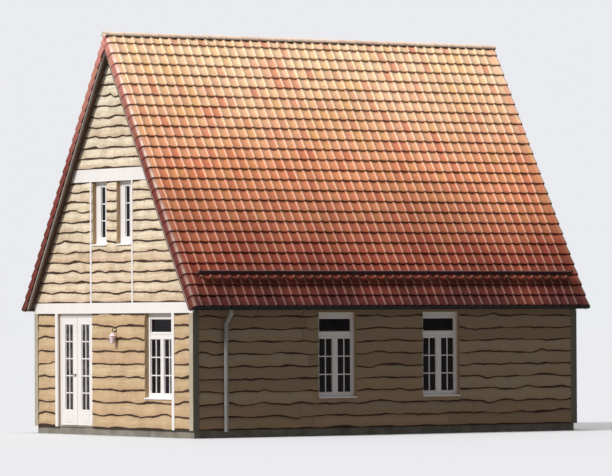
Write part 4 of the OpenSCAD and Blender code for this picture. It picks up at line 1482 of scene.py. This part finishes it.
def dress_pipes():
    """The two collars on each downpipe."""
    low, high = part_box("downpipes")
    pipe_r, stand_off = 0.042, 0.035
    pipe_x, pipe_y = WALLS.half_w + stand_off + pipe_r, (low[1] + high[1]) / 2
    collar_heights = (0.62, 1.90)
    profile = [(pipe_r + proud, height) for proud, height in (
        (-0.002, 0.0), (0.003, 0.002), (0.004, 0.030), (0.007, 0.036), (0.004, 0.042),
        (-0.002, 0.044))]
    collars = Shape("pipe_collars")
    for side in (-1, 1):
        for z in collar_heights:
            add_lathe(collars, (side * pipe_x, pipe_y, z), profile, 24)
    collars.build(["zinc"])


class COTTAGE_OT_rainwater_fittings(bpy.types.Operator):
    """Put beads and straps on the gutters and collars on the pipes"""

    bl_idname = "cottage.rainwater_fittings"
    bl_label = "Rainwater fittings"

    def execute(self, context):
        dress_gutters()
        dress_pipes()
        return {"FINISHED"}


FLOOR_SEEN = (0.517, 0.537, 0.578)  # the floor's colour to the eye
FLOOR_BOUNCE = (0.18, 0.18, 0.175)  # and as it lights the house from below
SKY_SEEN = 0.86  # how bright the backdrop is to the eye


def make_floor():
    """A wide floor, pale to the eye and darker for bounced light, so that shade stays dark."""
    size = 400.0
    mesh = bpy.data.meshes.new("floor")
    mesh.from_pydata([(-size, -size, 0), (size, -size, 0), (size, size, 0), (-size, size, 0)], [],
                     [(0, 1, 2, 3)])
    material, tree, shader = new_material("pale floor", 0.9)
    seen = tree.nodes.new("ShaderNodeLightPath").outputs["Is Camera Ray"]
    tree.links.new(mix_node(tree, seen, FLOOR_BOUNCE, FLOOR_SEEN), shader.inputs["Base Color"])
    mesh.materials.append(material)
    floor = bpy.data.objects.new("floor", mesh)
    bpy.context.scene.collection.objects.link(floor)


def make_sky():
    """Even light from all round: a pale backdrop to the eye, and a dimmer one for the house."""
    world = bpy.data.worlds.new("pale studio")
    bpy.context.scene.world = world
    world.use_nodes = True
    tree = world.node_tree
    background = tree.nodes["Background"]
    background.inputs["Color"].default_value = (0.96, 0.97, 1.0, 1.0)
    across = split_node(tree, coordinate(tree, "Generated"))["X"]
    dim = range_node(tree, across, -0.2, 0.7, 0.46, 0.15)
    seen = tree.nodes.new("ShaderNodeLightPath").outputs["Is Camera Ray"]
    unseen = math_node(tree, "SUBTRACT", 1.0, seen)
    strength = math_node(tree, "ADD", times(tree, seen, SKY_SEEN), times(tree, unseen, dim))
    tree.links.new(strength, background.inputs["Strength"])


def make_sun(name, travel, energy, angle, colour):
    """A soft sun that shines along travel; angle is its width in degrees."""
    sun = bpy.data.lights.new(name, "SUN")
    sun.energy = energy
    sun.angle = math.radians(angle)
    sun.color = colour
    lamp = bpy.data.objects.new(name, sun)
    lamp.rotation_euler = Vector(travel).to_track_quat("-Z", "Y").to_euler()
    bpy.context.scene.collection.objects.link(lamp)


def make_camera():
    """The photograph's viewpoint, far off and level, with the lens turned on the whole house."""
    photo_width, focal_px = 612, 2702.9
    sensor, enlarge = 36.0, 1.70
    position = Vector((78.139, -51.940, 2.318))
    aim = Vector((0.15, -0.08, 3.95))
    roll = math.radians(0.285)
    camera = bpy.data.cameras.new("camera")
    camera.sensor_width = sensor
    camera.lens = focal_px * sensor / photo_width * enlarge
    camera.clip_end = 1000.0
    body = bpy.data.objects.new("camera", camera)
    forward = (aim - position).normalized()
    right = forward.cross(Vector((0, 0, 1))).normalized()
    up = right.cross(forward)
    tilted_right = right * math.cos(roll) - up * math.sin(roll)
    tilted_up = up * math.cos(roll) + right * math.sin(roll)
    turn = Matrix((tilted_right, tilted_up, -forward)).transposed()
    body.matrix_world = Matrix.Translation(position) @ turn.to_4x4()
    bpy.context.scene.collection.objects.link(body)
    bpy.context.scene.camera = body
    bpy.context.scene.view_settings.view_transform = "Standard"


class COTTAGE_OT_stage(bpy.types.Operator):
    """Set the floor, the light and the camera"""

    bl_idname = "cottage.stage"
    bl_label = "Stage"

    def execute(self, context):
        make_floor()
        make_sky()
        make_sun("key", (0.03, 0.76, -0.65), 3.0, 13, (1.0, 0.97, 0.925))
        make_sun("top light", (-0.04, 0.05, -1.0), 2.1, 20, (1.0, 0.95, 0.88))
        make_camera()
        return {"FINISHED"}


class COTTAGE_PT_panel(bpy.types.Panel):
    """Lists the sizes and colours of the house, and the steps that dress it"""

    bl_label = "Boathouse cottage"
    bl_idname = "COTTAGE_PT_panel"
    bl_space_type = "VIEW_3D"
    bl_region_type = "UI"
    bl_category = "Boathouse"

    def draw(self, context):
        column = self.layout.column()
        for name, group in GROUPS.items():
            for setting in group.__annotations__:
                column.prop(getattr(context.scene, name), setting)
            column.separator()
        for operator in OPERATORS:
            column.operator(operator.bl_idname)


OPERATORS = [COTTAGE_OT_finish_solids, COTTAGE_OT_pantiles, COTTAGE_OT_verge_tiles,
             COTTAGE_OT_barge_strips, COTTAGE_OT_ridge_tiles, COTTAGE_OT_boards,
             COTTAGE_OT_door_joinery, COTTAGE_OT_window_joinery, COTTAGE_OT_wall_lamp,
             COTTAGE_OT_snow_guards, COTTAGE_OT_rainwater_fittings, COTTAGE_OT_stage]
GROUPS = {"cottage_roof": RoofSizes, "cottage_boards": BoardSizes, "cottage_joinery": JoinerySizes,
          "cottage_finishes": Finishes}


def register():
    """Registers the settings, the steps and the panel."""
    for cls in [*GROUPS.values(), *OPERATORS, COTTAGE_PT_panel]:
        bpy.utils.register_class(cls)
    for name, group in GROUPS.items():
        setattr(bpy.types.Scene, name, bpy.props.PointerProperty(type=group))


def unregister():
    """Takes them all away again."""
    for name in GROUPS:
        delattr(bpy.types.Scene, name)
    for cls in reversed([*GROUPS.values(), *OPERATORS, COTTAGE_PT_panel]):
        bpy.utils.unregister_class(cls)


def main():
    register()
    bpy.ops.cottage.finish_solids()
    bpy.ops.cottage.pantiles()
    bpy.ops.cottage.verge_tiles()
    bpy.ops.cottage.barge_strips()
    bpy.ops.cottage.ridge_tiles()
    bpy.ops.cottage.boards()
    bpy.ops.cottage.door_joinery()
    bpy.ops.cottage.window_joinery()
    bpy.ops.cottage.wall_lamp()
    bpy.ops.cottage.snow_guards()
    bpy.ops.cottage.rainwater_fittings()
    bpy.ops.cottage.stage()


if __name__ == "__main__":
    main()
